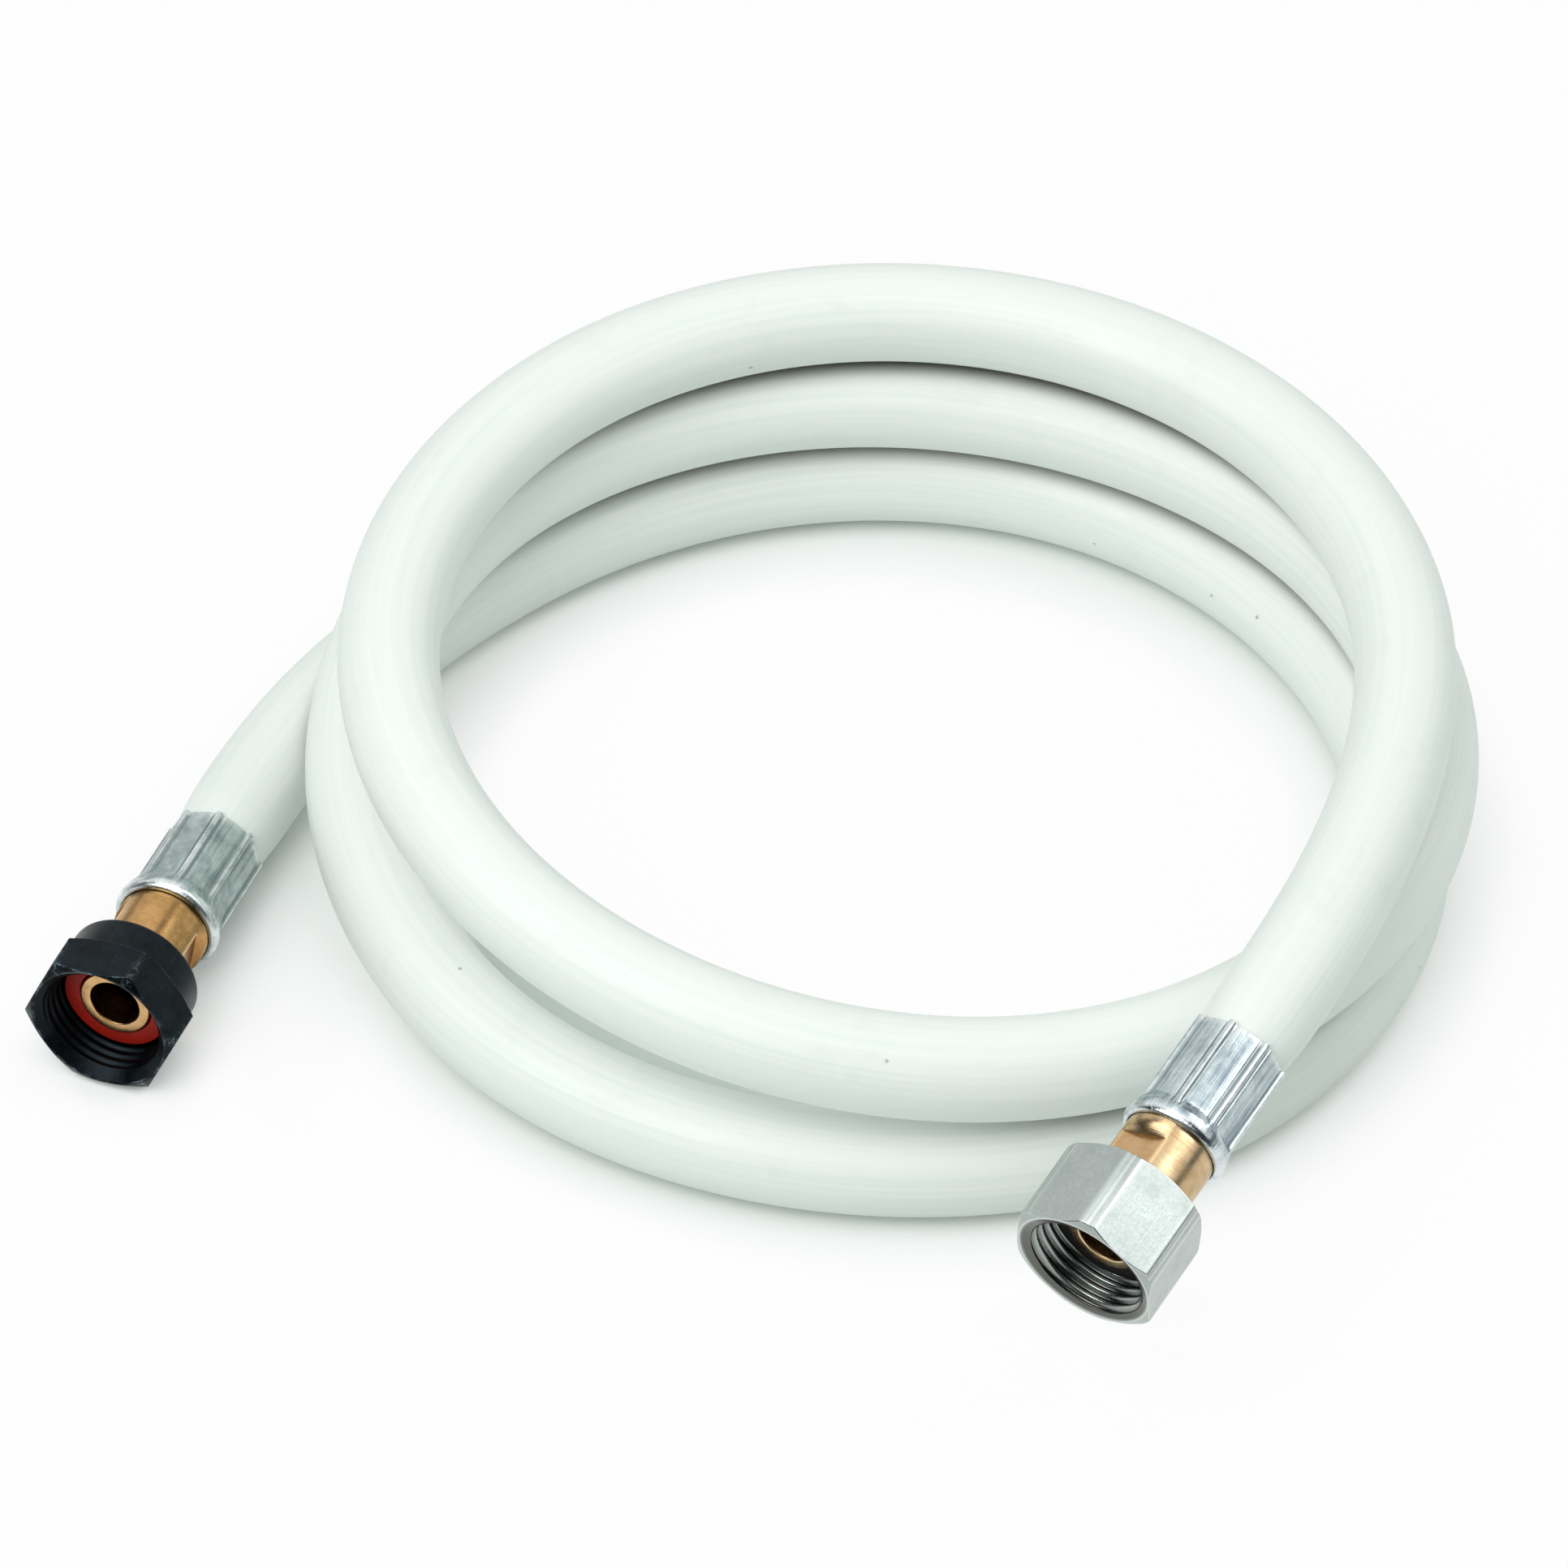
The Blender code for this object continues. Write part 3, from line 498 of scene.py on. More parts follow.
def hose_tail_mesh(name, end, flat_turn):
    """One tail, from the end of its stem over the outside to the spigot, and back through the bore."""
    corners = [(39.8, STEM_BORE, 0.1), (39.8, STEM_RADIUS, 0.3)]
    for k in range(BARBS):
        back = 39.5 - (k + 1) * BARB_PITCH + 0.5
        corners += [(back + 0.5, BARB_RADIUS, 0.1), (back, BARB_RADIUS, 0.1), (back - 0.3, STEM_RADIUS, 0.1)]
    corners += [
        (24.9, STEM_RADIUS, 0.1),
        (24.9, 6.8, 0.15),
        (23.9, 6.8, 0.15),
        (23.9, 6.1, 0.1),
        (22.1, 6.1, 0.1),
        (22.1, BODY_RADIUS, 0.3),
        (FLAT_TO + 0.04, BODY_RADIUS, 0),
        (FLAT_TO, BODY_RADIUS, 0),
        (FLAT_FROM, BODY_RADIUS, 0),
        (FLAT_FROM - 0.04, BODY_RADIUS, 0),
        (5.3, BODY_RADIUS, 0.1),
        (5.3, COLLAR_RADIUS, 0.2),
        (2.9, COLLAR_RADIUS, 0.2),
        (2.9, SPIGOT_RADIUS, 0.1),
        (0.0, SPIGOT_RADIUS, 0.4),
        (0.0, SPIGOT_BORE, 0.4),
        (9.0, SPIGOT_BORE, 0.1),
        (10.3, STEM_BORE, 0.1),
    ]
    profile = filled(arc_profile(corners), 0.4, FLAT_FROM, FLAT_TO)
    # Two more rows beside the flats' rear wall keep its edge crisp.
    near = [(FLAT_TO - 0.04, BODY_RADIUS), (FLAT_TO - 0.1, BODY_RADIUS)]
    at = int(np.argmax((profile[:, 0] == FLAT_TO) & (profile[:, 1] == BODY_RADIUS)))
    profile = np.insert(profile, at + 1, near, axis=0)
    places = profile[:, 0]
    angles = np.linspace(0, math.tau, 300, endpoint=False)
    limit = FLAT_HEIGHT / np.maximum(np.abs(np.cos(angles)), 0.05)
    radii = np.repeat(profile[:, 1][:, None], len(angles), axis=1)
    flat = (places <= FLAT_TO) & (places >= FLAT_FROM) & (profile[:, 1] > 7.5)
    radii[flat] = soft_min(radii[flat], limit[None, :], 0.06)
    cut = flat[:, None] & (limit < BODY_RADIUS)[None, :]
    tip = (places < 0.6) & (profile[:, 1] > 4.0)
    corner = np.exp(-((limit - BODY_RADIUS) / 0.25) ** 2)[None, :] * flat[:, None]
    # Painted shade: the bore darkens from 0.5 mm inside the spigot.
    inside = eased(places, 0.5, 2.6) * (profile[:, 1] < 4.5) * (places < 39)
    masks = {
        "edge_wear_and_highlight": np.maximum(np.broadcast_to(tip[:, None] * 0.25, radii.shape), corner),
        "milled": cut,
        "hollow_shade": np.broadcast_to(inside[:, None], radii.shape),
    }
    return ring_mesh(name, end, places + end.tip, radii, angles + flat_turn, masks)


def brass_finish(name, light, dark):
    """Turned brass: fine rings from the tool, a thin brown tarnish in patches, darker milled flats, bright edges, and
    painted shade, near black, inside the bore.
    """
    made, tree, shader = new_material(name)
    here = add(tree, "TexCoord").outputs["Object"]
    edge = add(tree, "Attribute", attribute_name="edge_wear_and_highlight").outputs["Fac"]
    milled = add(tree, "Attribute", attribute_name="milled").outputs["Fac"]
    hollow_shade = add(tree, "Attribute", attribute_name="hollow_shade").outputs["Fac"]
    # The tool's feed is about 0.1 mm. The rings are drawn 0.22 mm apart, as finer ones don't show, and the mill's
    # lines 0.25 mm. Tarnish comes in patches of 4.5 mm and spots of 0.9 mm.
    turned = add(tree, "Mapping", {"Vector": here, "Scale": (1 / 0.012, 1 / 0.012, 1 / 0.00022)}).outputs[0]
    rings = add(tree, "TexNoise", {"Vector": turned, "Scale": 1.0, "Detail": 2.0})
    across = add(tree, "Mapping", {"Vector": here, "Scale": (1 / 0.006, 1 / 0.00025, 1 / 0.004)}).outputs[0]
    mill_lines = add(tree, "TexNoise", {"Vector": across, "Scale": 1.0, "Detail": 2.0})
    tarnish = add(tree, "TexNoise", {"Vector": here, "Scale": 1 / 0.0045, "Detail": 5.0, "Roughness": 0.66})
    spots = add(tree, "TexNoise", {"Vector": here, "Scale": 1 / 0.0009, "Detail": 3.0, "Roughness": 0.6})
    amount = add(tree, "MapRange", {0: tarnish.outputs[0], 1: 0.42, 2: 0.68})
    tint = add(tree, "MixRGB", {"Fac": amount.outputs[0], "Color1": srgb(light), "Color2": srgb(dark)})
    amount = add(tree, "MapRange", {0: rings.outputs[0], 1: 0.5, 2: 0.75, 3: 0.0, 4: 0.35})
    tint = add(tree, "MixRGB", {"Fac": amount.outputs[0], "Color1": tint.outputs[0], "Color2": srgb("#A97F4C")})
    amount = add(tree, "MapRange", {0: spots.outputs[0], 1: 0.66, 2: 0.8, 3: 0.0, 4: 0.4})
    tint = add(tree, "MixRGB", {"Fac": amount.outputs[0], "Color1": tint.outputs[0], "Color2": srgb("#7D6236")})
    amount = add(tree, "Math", {0: milled, 1: 0.45}, operation="MULTIPLY")
    tint = add(tree, "MixRGB", {"Fac": amount.outputs[0], "Color1": tint.outputs[0], "Color2": srgb("#B8834A")})
    # Painted shade inside the bore.
    amount = add(tree, "Math", {0: hollow_shade, 1: 0.96}, operation="MULTIPLY")
    tint = add(tree, "MixRGB", {"Fac": amount.outputs[0], "Color1": tint.outputs[0], "Color2": srgb("#2A1A0D")})
    tint = add(tree, "MixRGB", {"Fac": edge, "Color1": tint.outputs[0], "Color2": srgb("#F0CF9F")})
    tree.links.new(tint.outputs[0], shader.inputs["Base Color"])
    shader.inputs["Metallic"].default_value = 1.0
    rough = add(tree, "MapRange", {0: tarnish.outputs[0], 1: 0.3, 2: 0.7, 3: 0.17, 4: 0.34})
    tree.links.new(rough.outputs[0], shader.inputs["Roughness"])
    height = add(tree, "MixRGB", {"Fac": milled, "Color1": rings.outputs[0], "Color2": mill_lines.outputs[0]})
    marks = add(tree, "Bump", {"Height": height.outputs[0], "Distance": 0.00003, "Strength": 0.7})
    waves = add(tree, "Bump", {
        "Height": tarnish.outputs[0], "Distance": 0.00008, "Strength": 0.5, "Normal": marks.outputs[0]})
    tree.links.new(waves.outputs[0], shader.inputs["Normal"])
    return made


tail_black_end = hose_tail_mesh("turned_hose_tail_black_end", BLACK_END, math.radians(100))
tail_nickel_end = hose_tail_mesh("turned_hose_tail_nickel_end", NICKEL_END, math.radians(-23))
# The brass at the black nut is yellower than that at the nickel nut.
tail_black_end.data.materials.append(brass_finish("turned_brass_yellow", "#CBA069", "#A67B46"))
tail_nickel_end.data.materials.append(brass_finish("turned_brass_pale", "#D6BE98", "#BD9E70"))
for tail, node in ((tail_black_end, "hose_tail_black_end"), (tail_nickel_end, "hose_tail_nickel_end")):
    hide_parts(node)
    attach(tail, "hose_and_fittings")

# Seals. Moulded rubber rings on the spigots, against the collars, which the tap's pipe is pulled on to. The one in
# the black nut is red, and the one in the nickel nut black.

SEAL_FRONT = 0.6
SEAL_THICKNESS = 2.0
SEAL_RADIUS = 9.2
SEAL_HOLE = 6.4


def seal_mesh(name, end):
    """One ring. A moulded ring isn't quite even, so its face and its front edge waver by up to 0.1 mm."""
    back = SEAL_FRONT + SEAL_THICKNESS
    profile = arc_profile([
        (back, SEAL_HOLE, 0.2),
        (back, SEAL_RADIUS, 0.3),
        (SEAL_FRONT, SEAL_RADIUS, 0.3),
        (SEAL_FRONT, SEAL_HOLE, 0.25),
    ])
    angles = np.linspace(0, math.tau, 200, endpoint=False)
    wave = 0.06 * np.sin(2 * angles + 0.6) + 0.03 * np.sin(5 * angles)
    front = np.exp(-(profile[:, 0] - SEAL_FRONT) / 0.4)[:, None]
    radii = profile[:, 1][:, None] + 0.04 * front * np.sin(3 * angles)
    return ring_mesh(name, end, profile[:, 0][:, None] + end.tip + wave * front, radii, angles)


def seal_finish(name, light, dark, roughness):
    """Moulded rubber: matt, with a fine skin, cloudy patches and dull dust from the mould."""
    made, tree, shader = new_material(name)
    here = add(tree, "TexCoord").outputs["Object"]
    # Patches of 3 mm, and a skin of 0.3 mm.
    cloud = add(tree, "TexNoise", {"Vector": here, "Scale": 1 / 0.003, "Detail": 4.0, "Roughness": 0.6})
    skin = add(tree, "TexNoise", {"Vector": here, "Scale": 1 / 0.0003, "Detail": 3.0})
    tint = add(tree, "MixRGB", {"Fac": cloud.outputs[0], "Color1": srgb(light), "Color2": srgb(dark)})
    dust = add(tree, "MapRange", {0: skin.outputs[0], 1: 0.62, 2: 0.8, 3: 0.0, 4: 0.25})
    tint = add(tree, "MixRGB", {"Fac": dust.outputs[0], "Color1": tint.outputs[0], "Color2": srgb("#B79A90")})
    tree.links.new(tint.outputs[0], shader.inputs["Base Color"])
    rough = add(tree, "MapRange", {0: cloud.outputs[0], 1: 0.3, 2: 0.7, 3: roughness, 4: roughness + 0.18})
    tree.links.new(rough.outputs[0], shader.inputs["Roughness"])
    shader.inputs["Specular IOR Level"].default_value = 0.35
    bump = add(tree, "Bump", {"Height": skin.outputs[0], "Distance": 0.00004, "Strength": 0.6})
    tree.links.new(bump.outputs[0], shader.inputs["Normal"])
    return made


seal_red = seal_mesh("moulded_seal_red", BLACK_END)
seal_red.data.materials.append(seal_finish("moulded_red_rubber", "#B41D0B", "#8E1206", 0.42))
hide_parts("seal_red")
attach(seal_red, "hose_and_fittings")
seal_black = seal_mesh("moulded_seal_black", NICKEL_END)
seal_black.data.materials.append(seal_finish("moulded_black_rubber", "#1D1C1B", "#121212", 0.5))
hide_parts("seal_black")
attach(seal_black, "hose_and_fittings")

# Black union nut. Turned from hexagonal steel bar and blackened: a short hexagon at the mouth, a round collar
# behind it with its back edge rounded over, a countersunk mouth and a half-inch pipe thread inside.

APOTHEM = 12.0
CORNER_RADIUS = 13.7
THREAD_RADIUS = 10.478
THREAD_PITCH = 1.814
MOUTH_RADIUS = 11.7
NUT_SEAT = 5.6
NUT_HOLE = 8.2


def nut_mesh(name, end, outside, turn, corner_round, edge_round, thread_depth, thread_end, slopes, sink):
    """outside holds the corners of the outer side, from the back to the mouth, and slopes the stretches of its
    length that are cut at a slope. The thread runs in from the mouth as far as thread_end, and sink is the slope of
    the countersink."""
    seat = end.tip + NUT_SEAT
    length = outside[0][0]
    outer = arc_profile([(length, NUT_HOLE, 0.1), *outside, (0.0, MOUTH_RADIUS, 0.0)], closed=False)
    for low, high in slopes:
        outer = filled(outer, 0.11, low, high, closed=False)
    depths = np.arange(0.1, seat - 0.05, 0.12)
    inner = np.stack((depths, np.full(len(depths), THREAD_RADIUS)), -1)
    back = np.array(((seat, THREAD_RADIUS), (seat, NUT_HOLE + 0.1), (seat + 0.1, NUT_HOLE)))
    profile = np.concatenate((outer, inner, back))
    angles = gathered(60, 6, 1.5)
    places = profile[:, 0]
    radii = np.repeat(profile[:, 1][:, None], len(angles), axis=1)
    past = (angles + math.pi / 6) % (math.pi / 3) - math.pi / 6
    limit = soft_min(
        APOTHEM / np.cos(math.pi / 6 - past), APOTHEM / np.cos(math.pi / 6 + past), corner_round
    )
    rows = (np.arange(len(profile)) < len(outer)) & (profile[:, 1] > APOTHEM - 0.9)
    apart = radii - limit[None, :]
    radii[rows] = soft_min(radii[rows], limit[None, :], edge_round)
    first, last = len(outer), len(outer) + len(inner)
    x = places[first:last][:, None]
    phase = (x / THREAD_PITCH - angles[None, :] / math.tau) % 1.0
    ridge = 0.5 - 0.5 * np.cos(math.tau * phase)
    fade = np.clip((thread_end - x) / 0.8, 0, 1)
    cut = THREAD_RADIUS - thread_depth * ridge * fade
    cone = MOUTH_RADIUS - sink * x
    radii[first:last] = np.maximum(cut, cone)
    # Masks of the corners, the chamfers' edges and the mouth's rim: bare steel worn through on the black nut, painted
    # highlight on the nickel nut.
    corner = np.exp(-(past * 13.6 / 0.28) ** 2)[None, :] * ((radii > APOTHEM + 1) & rows[:, None])
    chamfer = np.exp(-(apart / 0.2) ** 2) * rows[:, None]
    ring = np.exp(-((places + np.abs(profile[:, 1] - MOUTH_RADIUS)) / 0.25) ** 2)[:, None]
    # Painted shade in the countersink and the thread's roots, which the nickel nut's colour uses.
    hollow_shade = np.zeros_like(radii)
    hollow_shade[first:last] = np.where(cone > cut, eased(x, 0.0, 0.2), 1 - ridge * fade)
    # Knocks on the front corners, which meet the floor and the spanner first.
    off = np.hypot(places[:, None] - 0.5, past[None, :] * CORNER_RADIUS)
    knocked = np.exp(-(off / 0.75) ** 2) * rows[:, None]
    masks = {
        "edge_wear_and_highlight": np.maximum(np.maximum(corner, chamfer), np.broadcast_to(ring, radii.shape)),
        "hollow_shade": hollow_shade,
        "knocked": knocked,
    }
    return ring_mesh(name, end, places, radii, angles + turn, masks)


black_nut = nut_mesh(
    "black_steel_union_nut",
    BLACK_END,
    outside=[(14.8, 11.4, 0.9), (8.53, 11.5, 0.15), (7.0, 14.16, 0), (1.19, 14.16, 0), (0.0, 12.1, 0.12)],
    turn=math.radians(24),
    corner_round=0.12,
    edge_round=0.06,
    thread_depth=0.5,
    thread_end=10.2,
    slopes=[(7.0, 8.7), (0.0, 1.3)],
    sink=1.02,
)

# Black oxide is a thin skin that the steel is boiled in: nearly black with a blue tinge and a faint oily sheen. Where
# the nut was knocked or held in a spanner the bare grey steel shows through.
finish, tree, shader = new_material("black_oxide_steel")
here = add(tree, "TexCoord").outputs["Object"]
edge = add(tree, "Attribute", attribute_name="edge_wear_and_highlight").outputs["Fac"]
hollow_shade = add(tree, "Attribute", attribute_name="hollow_shade").outputs["Fac"]
# Patches of 4 mm, grit of 0.35 mm, and drawing marks along the bar 0.3 mm wide and 7 mm long.
cloud = add(tree, "TexNoise", {"Vector": here, "Scale": 1 / 0.004, "Detail": 5.0, "Roughness": 0.65})
grit = add(tree, "TexNoise", {"Vector": here, "Scale": 1 / 0.00035, "Detail": 3.0, "Roughness": 0.6})
pulled = add(tree, "Mapping", {"Vector": here, "Scale": (1 / 0.0003, 1 / 0.0003, 1 / 0.007)}).outputs[0]
drawn = add(tree, "TexNoise", {"Vector": pulled, "Scale": 1.0, "Detail": 2.0})
amount = add(tree, "MapRange", {0: cloud.outputs[0], 1: 0.35, 2: 0.68})
tint = add(tree, "MixRGB", {"Fac": amount.outputs[0], "Color1": srgb("#14191D"), "Color2": srgb("#20282D")})
amount = add(tree, "MapRange", {0: grit.outputs[0], 1: 0.6, 2: 0.78, 3: 0.0, 4: 0.6})
tint = add(tree, "MixRGB", {"Fac": amount.outputs[0], "Color1": tint.outputs[0], "Color2": srgb("#363F44")})
amount = add(tree, "MapRange", {0: drawn.outputs[0], 1: 0.66, 2: 0.76, 3: 0.0, 4: 0.5})
tint = add(tree, "MixRGB", {"Fac": amount.outputs[0], "Color1": tint.outputs[0], "Color2": srgb("#39444A")})
broken = add(tree, "MapRange", {0: cloud.outputs[0], 1: 0.48, 2: 0.66})
chipped = add(tree, "MapRange", {0: grit.outputs[0], 1: 0.4, 2: 0.62, 3: 0.25, 4: 1.0})
amount = add(tree, "Math", {0: broken.outputs[0], 1: chipped.outputs[0]}, operation="MULTIPLY")
amount = add(tree, "Math", {0: edge, 1: amount.outputs[0]}, operation="MULTIPLY")
# Scuffs 0.7 mm wide, where the corners were knocked.
knocked = add(tree, "Attribute", attribute_name="knocked").outputs["Fac"]
scuffs = add(tree, "TexNoise", {
    "Vector": here, "Scale": 1 / 0.0007, "Detail": 3.0, "Roughness": 0.7, "Distortion": 1.5})
scuff = add(tree, "MapRange", {0: scuffs.outputs[0], 1: 0.5, 2: 0.62})
scuff = add(tree, "Math", {0: scuff.outputs[0], 1: knocked}, operation="MULTIPLY")
amount = add(tree, "Math", {0: amount.outputs[0], 1: scuff.outputs[0]}, operation="MAXIMUM")
tint = add(tree, "MixRGB", {"Fac": amount.outputs[0], "Color1": tint.outputs[0], "Color2": srgb("#8798A0")})
tree.links.new(tint.outputs[0], shader.inputs["Base Color"])
shader.inputs["Metallic"].default_value = 0.9
shader.inputs["Specular IOR Level"].default_value = 0.3
rough = add(tree, "MapRange", {0: cloud.outputs[0], 1: 0.3, 2: 0.7, 3: 0.3, 4: 0.46})
tree.links.new(rough.outputs[0], shader.inputs["Roughness"])
pits = add(tree, "Bump", {"Height": grit.outputs[0], "Distance": 0.00003, "Strength": 0.6})
lumps = add(tree, "Bump", {
    "Height": cloud.outputs[0], "Distance": 0.00012, "Strength": 0.5, "Normal": pits.outputs[0]})
tree.links.new(lumps.outputs[0], shader.inputs["Normal"])
black_nut.data.materials.append(finish)
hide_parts("union_nut_black")
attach(black_nut, "black_nut")

# Nickel union nut. Turned from hexagonal bar and nickel-plated: the hexagon runs its whole length, its corners are
# turned down to blunt strips, and it has the same countersunk mouth and half-inch pipe thread.

nickel_nut = nut_mesh(
    "nickel_plated_union_nut",
    NICKEL_END,
    outside=[(16.8, 10.6, 0.3), (15.27, 13.25, 0.2), (0.66, 13.25, 0.2), (0.0, 12.1, 0.12)],
    turn=math.radians(5),
    corner_round=0.1,
    edge_round=0.1,
    thread_depth=0.8,
    thread_end=10.1,
    slopes=[(15.1, 16.8), (0.0, 0.9)],
    sink=2.2,
)

# Nickel plate over a rough-cut bar: a pale grey with a green cast, mottled where the bar's grain shows through, with a
# painted highlight along the edges and the mouth's rim, and painted shade, a dark brown, in the countersink and the
# thread.
finish, tree, shader = new_material("nickel_plate")
here = add(tree, "TexCoord").outputs["Object"]
edge = add(tree, "Attribute", attribute_name="edge_wear_and_highlight").outputs["Fac"]
hollow_shade = add(tree, "Attribute", attribute_name="hollow_shade").outputs["Fac"]
# A mottle of 0.7 mm, patches of 5 mm, and drawing marks 0.35 mm wide and 12 mm long.
mottle = add(tree, "TexNoise", {"Vector": here, "Scale": 1 / 0.0007, "Detail": 3.0, "Roughness": 0.6})
cloud = add(tree, "TexNoise", {"Vector": here, "Scale": 1 / 0.005, "Detail": 4.0, "Roughness": 0.6})
pulled = add(tree, "Mapping", {"Vector": here, "Scale": (1 / 0.00035, 1 / 0.00035, 1 / 0.012)}).outputs[0]
drawn = add(tree, "TexNoise", {"Vector": pulled, "Scale": 1.0, "Detail": 2.0})
amount = add(tree, "MapRange", {0: mottle.outputs[0], 1: 0.36, 2: 0.66})
tint = add(tree, "MixRGB", {"Fac": amount.outputs[0], "Color1": srgb("#A8B1AD"), "Color2": srgb("#B1B9B6")})
amount = add(tree, "MapRange", {0: cloud.outputs[0], 1: 0.5, 2: 0.75, 3: 0.0, 4: 0.3})
tint = add(tree, "MixRGB", {"Fac": amount.outputs[0], "Color1": tint.outputs[0], "Color2": srgb("#9CA8A3")})
# Painted shade in the countersink and the thread's roots.
amount = add(tree, "Math", {0: hollow_shade, 1: 0.75}, operation="MULTIPLY")
tint = add(tree, "MixRGB", {"Fac": amount.outputs[0], "Color1": tint.outputs[0], "Color2": srgb("#3F382E")})
# Painted highlight along the corners, the chamfers' edges and the mouth's rim.
amount = add(tree, "Math", {0: edge, 1: 0.6}, operation="MULTIPLY")
tint = add(tree, "MixRGB", {"Fac": amount.outputs[0], "Color1": tint.outputs[0], "Color2": srgb("#DDE5E1")})
tree.links.new(tint.outputs[0], shader.inputs["Base Color"])
shader.inputs["Metallic"].default_value = 1.0
rough = add(tree, "MapRange", {0: cloud.outputs[0], 1: 0.3, 2: 0.7, 3: 0.16, 4: 0.3})
tree.links.new(rough.outputs[0], shader.inputs["Roughness"])
pits = add(tree, "Bump", {"Height": mottle.outputs[0], "Distance": 0.00002, "Strength": 0.45})
lines = add(tree, "Bump", {
    "Height": drawn.outputs[0], "Distance": 0.00002, "Strength": 0.5, "Normal": pits.outputs[0]})
tree.links.new(lines.outputs[0], shader.inputs["Normal"])
nickel_nut.data.materials.append(finish)
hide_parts("union_nut_nickel")
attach(nickel_nut, "nickel_nut")

# Studio. A white floor under a pale sky, large soft lamps to the right, overhead and in front, and cards that only
# show in the metal, as a photographer sets them round a shiny piece to give it an edge.



def background_rays(tree):
    """1 for rays from the camera and for reflected and transmitted ones, which see the background white."""
    ray = add(tree, "LightPath")
    seen = add(tree, "Math", {0: ray.outputs["Is Camera Ray"], 1: ray.outputs["Is Glossy Ray"]}, operation="MAXIMUM")
    both = {0: seen.outputs[0], 1: ray.outputs["Is Transmission Ray"]}
    return add(tree, "Math", both, operation="MAXIMUM").outputs[0]


bpy.ops.mesh.primitive_plane_add(size=6)
floor = bpy.context.object
floor.name = "studio_floor"
finish, tree, shader = new_material("white_studio_floor")
shader.inputs["Base Color"].default_value = srgb("#DCE3DF")
shader.inputs["Roughness"].default_value = 0.9
shader.inputs["Specular IOR Level"].default_value = 0.1
# The white fades out close to the pieces, and in a sickle under the front of the coil, so that their shadow stays on
# the floor there. The sickle is what lies more than 50 mm in front of the coil's middle, and within 77 mm of it.
open_sky = add(tree, "AmbientOcclusion", {"Distance": 0.03}, samples=4).outputs["AO"]
clear = add(tree, "MapRange", {0: open_sky, 1: 0.15, 2: 0.7, 3: 0.0, 4: 0.95})
here = add(tree, "TexCoord").outputs["Object"]
spot = add(tree, "VectorMath", {0: here, 1: tuple(COIL_MIDDLE * MM)}, operation="SUBTRACT").outputs[0]
away = add(tree, "VectorMath", {0: spot}, operation="LENGTH").outputs["Value"]
rim = add(tree, "MapRange", {0: away, 1: 0.072, 2: 0.082, 3: 1.0, 4: 0.0}, interpolation_type="SMOOTHSTEP")
behind = add(tree, "SeparateXYZ", {0: spot}).outputs[1]
front = add(tree, "MapRange", {0: behind, 1: -0.045, 2: -0.053, 3: 0.0, 4: 1.0})
sickle = add(tree, "Math", {0: rim.outputs[0], 1: front.outputs[0]}, operation="MULTIPLY")
clear = add(tree, "Math", {0: clear.outputs[0], 1: sickle.outputs[0]}, operation="SUBTRACT", use_clamp=True)
share = add(tree, "Math", {0: background_rays(tree), 1: clear.outputs[0]}, operation="MULTIPLY")
white = add(tree, "Emission", {"Color": (1, 1, 1, 1), "Strength": 1.0})
both = add(tree, "MixShader", {0: share.outputs[0], 1: shader.outputs[0], 2: white.outputs[0]})
tree.links.new(both.outputs[0], tree.nodes["Material Output"].inputs["Surface"])
floor.data.materials.append(finish)

world = bpy.data.worlds.new("studio")
bpy.context.scene.world = world
world.use_nodes = True
tree = world.node_tree
soft = add(tree, "Background", {"Color": srgb("#E4F2EA"), "Strength": 0.5})
white = add(tree, "Background", {"Color": (1, 1, 1, 1), "Strength": 1.0})
both = add(tree, "MixShader", {0: background_rays(tree), 1: soft.outputs[0], 2: white.outputs[0]})
tree.links.new(both.outputs[0], tree.nodes["World Output"].inputs["Surface"])


def soft_lamp(name, azimuth, elevation, distance, size, power, mirrored=True):
    """An area lamp, size (wide, high) in metres, that looks at the coil. Azimuth runs from +Y towards +X."""
    lamp = bpy.data.lights.new(name, "AREA")
    lamp.shape = "RECTANGLE"
    lamp.size, lamp.size_y = size
    lamp.energy = power
    obj = bpy.data.objects.new(name, lamp)
    bpy.context.scene.collection.objects.link(obj)
    a, e = math.radians(azimuth), math.radians(elevation)
    obj.location = Vector((math.sin(a) * math.cos(e), math.cos(a) * math.cos(e), math.sin(e))) * distance
    obj.rotation_euler = (-obj.location).to_track_quat("-Z", "Y").to_euler()
    obj.visible_glossy = mirrored


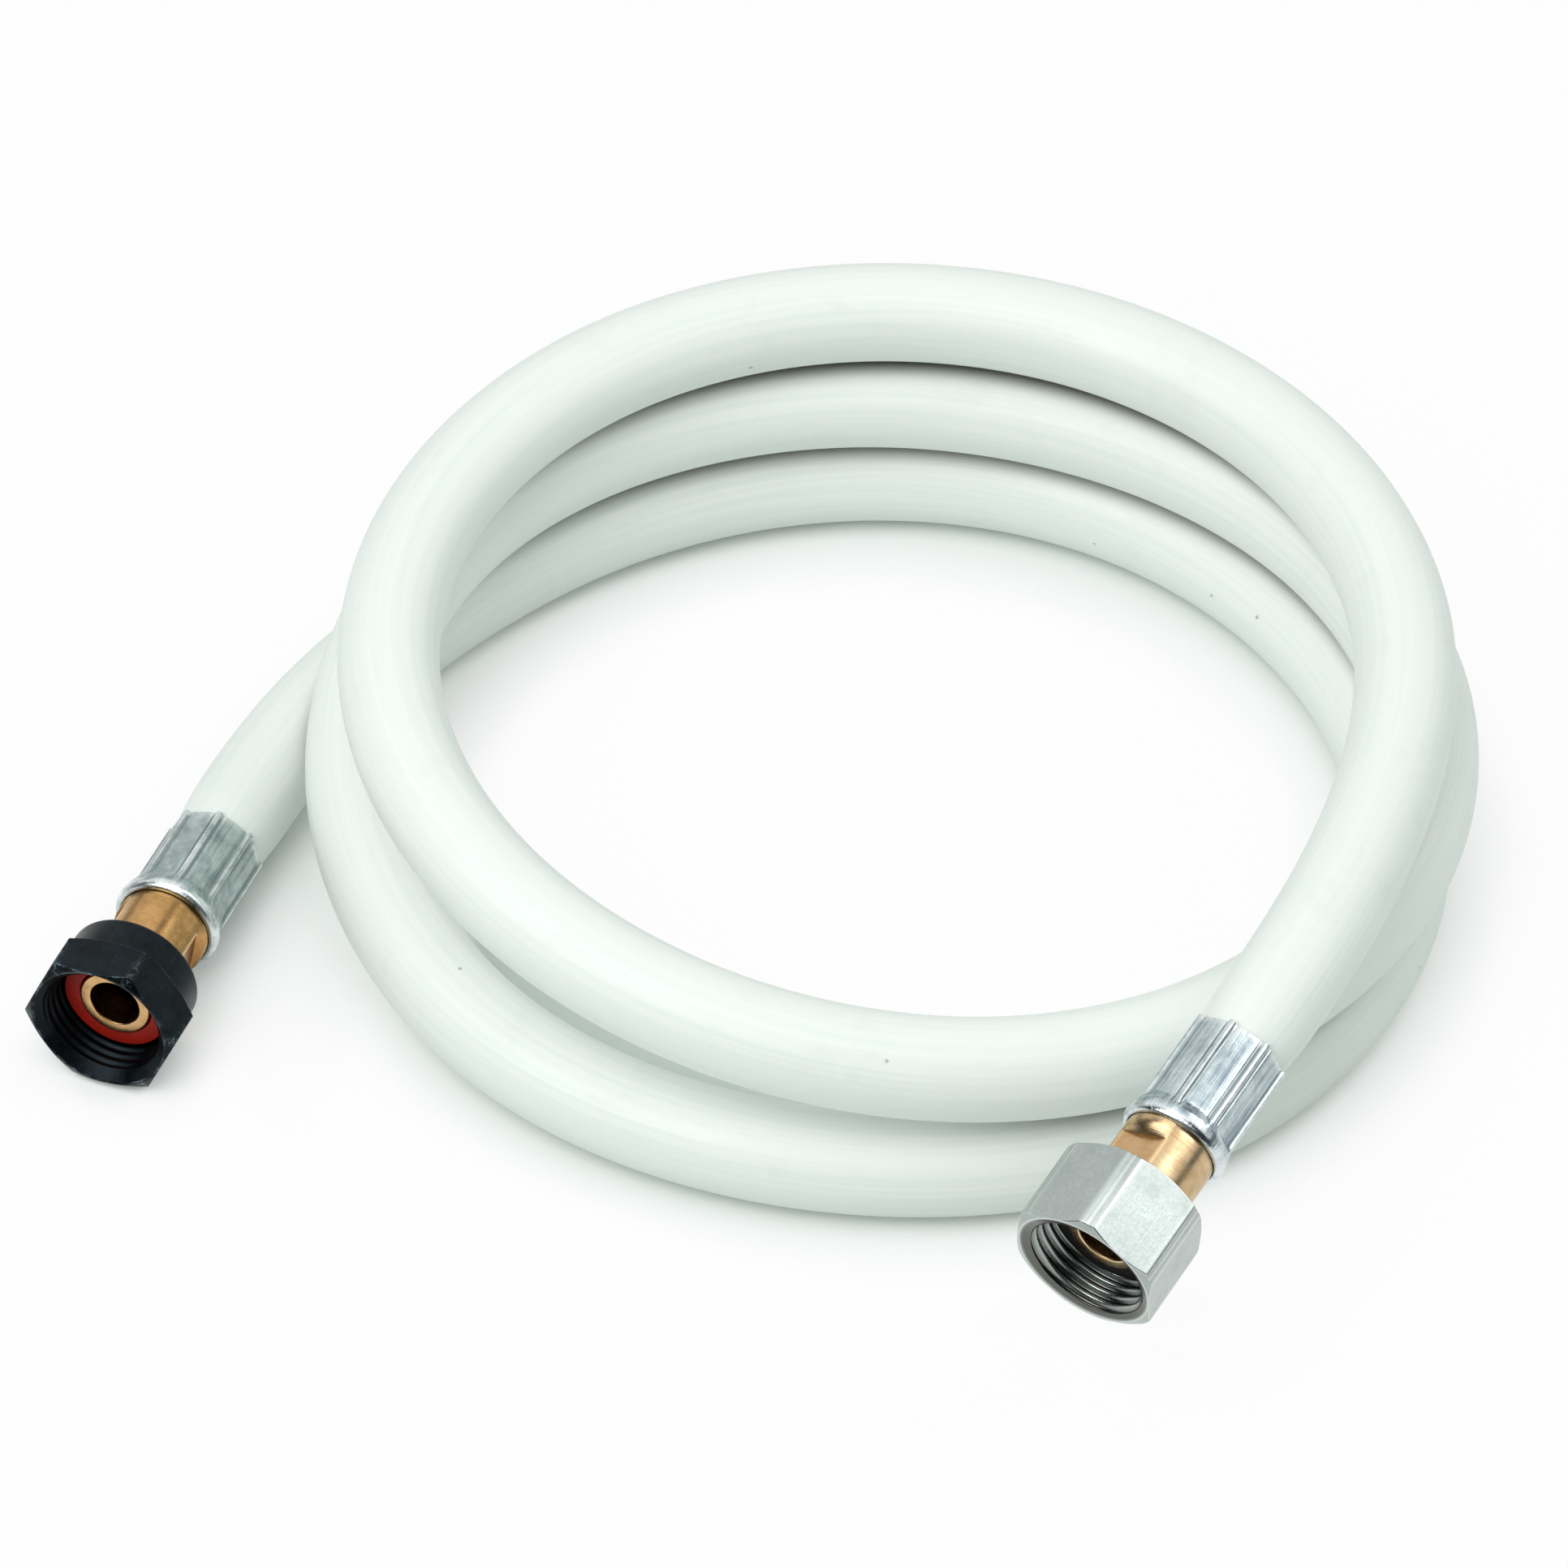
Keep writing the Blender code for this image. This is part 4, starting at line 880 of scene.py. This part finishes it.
soft_lamp("right_softbox", azimuth=50, elevation=45, distance=1.2, size=(0.85, 0.6), power=2.7)
soft_lamp("overhead_lamp", azimuth=-150, elevation=82, distance=1.5, size=(1.2, 1.2), power=3.2)
soft_lamp("front_lamp", azimuth=203, elevation=54, distance=1.5, size=(1.0, 1.0), power=10.5, mirrored=False)


def card(name, azimuths, elevations, shade, distance=1.6, strength=1.0):
    """A bent card round the coil, from one azimuth and elevation to the other, seen only in shiny surfaces."""
    steps = 25
    a = np.radians(np.linspace(*azimuths, steps))
    points = [
        (distance * math.sin(x), distance * math.cos(x), distance * math.tan(math.radians(e)))
        for e in elevations for x in a
    ]
    mesh = bpy.data.meshes.new(name)
    mesh.from_pydata(points, [], [(i, i + 1, steps + i + 1, steps + i) for i in range(steps - 1)])
    made, tree, shader = new_material(name + "_cloth")
    shine = add(tree, "Emission", {"Color": srgb(shade), "Strength": strength})
    tree.links.new(shine.outputs[0], tree.nodes["Material Output"].inputs["Surface"])
    mesh.materials.append(made)
    obj = bpy.data.objects.new(name, mesh)
    bpy.context.scene.collection.objects.link(obj)
    obj.visible_camera = obj.visible_diffuse = obj.visible_transmission = obj.visible_shadow = False


card("low_card_right", (35, 150), (2, 17), "#5C666B")
card("low_card_left", (-110, -25), (2, 14), "#7C868A")
card("narrow_card_behind", (3, 20), (20, 52), "#4A4C3C")
card("dark_card_behind_camera", (100, 262), (0, 68), "#33373A")
card("white_card_front_left", (190, 236), (32, 66), "#FFFFFF", distance=1.3, strength=3.5)
card("white_card_over_camera", (140, 185), (42, 66), "#FFFFFF", distance=1.3, strength=1.4)

# Camera. It looks down on the coil from 46 degrees, from the side that both mouths face.

CAMERA_AIM = Vector((-16.86, 11.71, 0.0)) * MM
camera = bpy.data.cameras.new("camera")
camera.sensor_width = 36
camera.lens = 181.1
camera_object = bpy.data.objects.new("camera", camera)
bpy.context.scene.collection.objects.link(camera_object)
camera_object.location = CAMERA_AIM + Vector((411.1, -842.9, 971.1)) * MM
camera_object.rotation_euler = (CAMERA_AIM - camera_object.location).to_track_quat("-Z", "Y").to_euler()
bpy.context.scene.camera = camera_object
bpy.context.scene.view_settings.view_transform = "Standard"
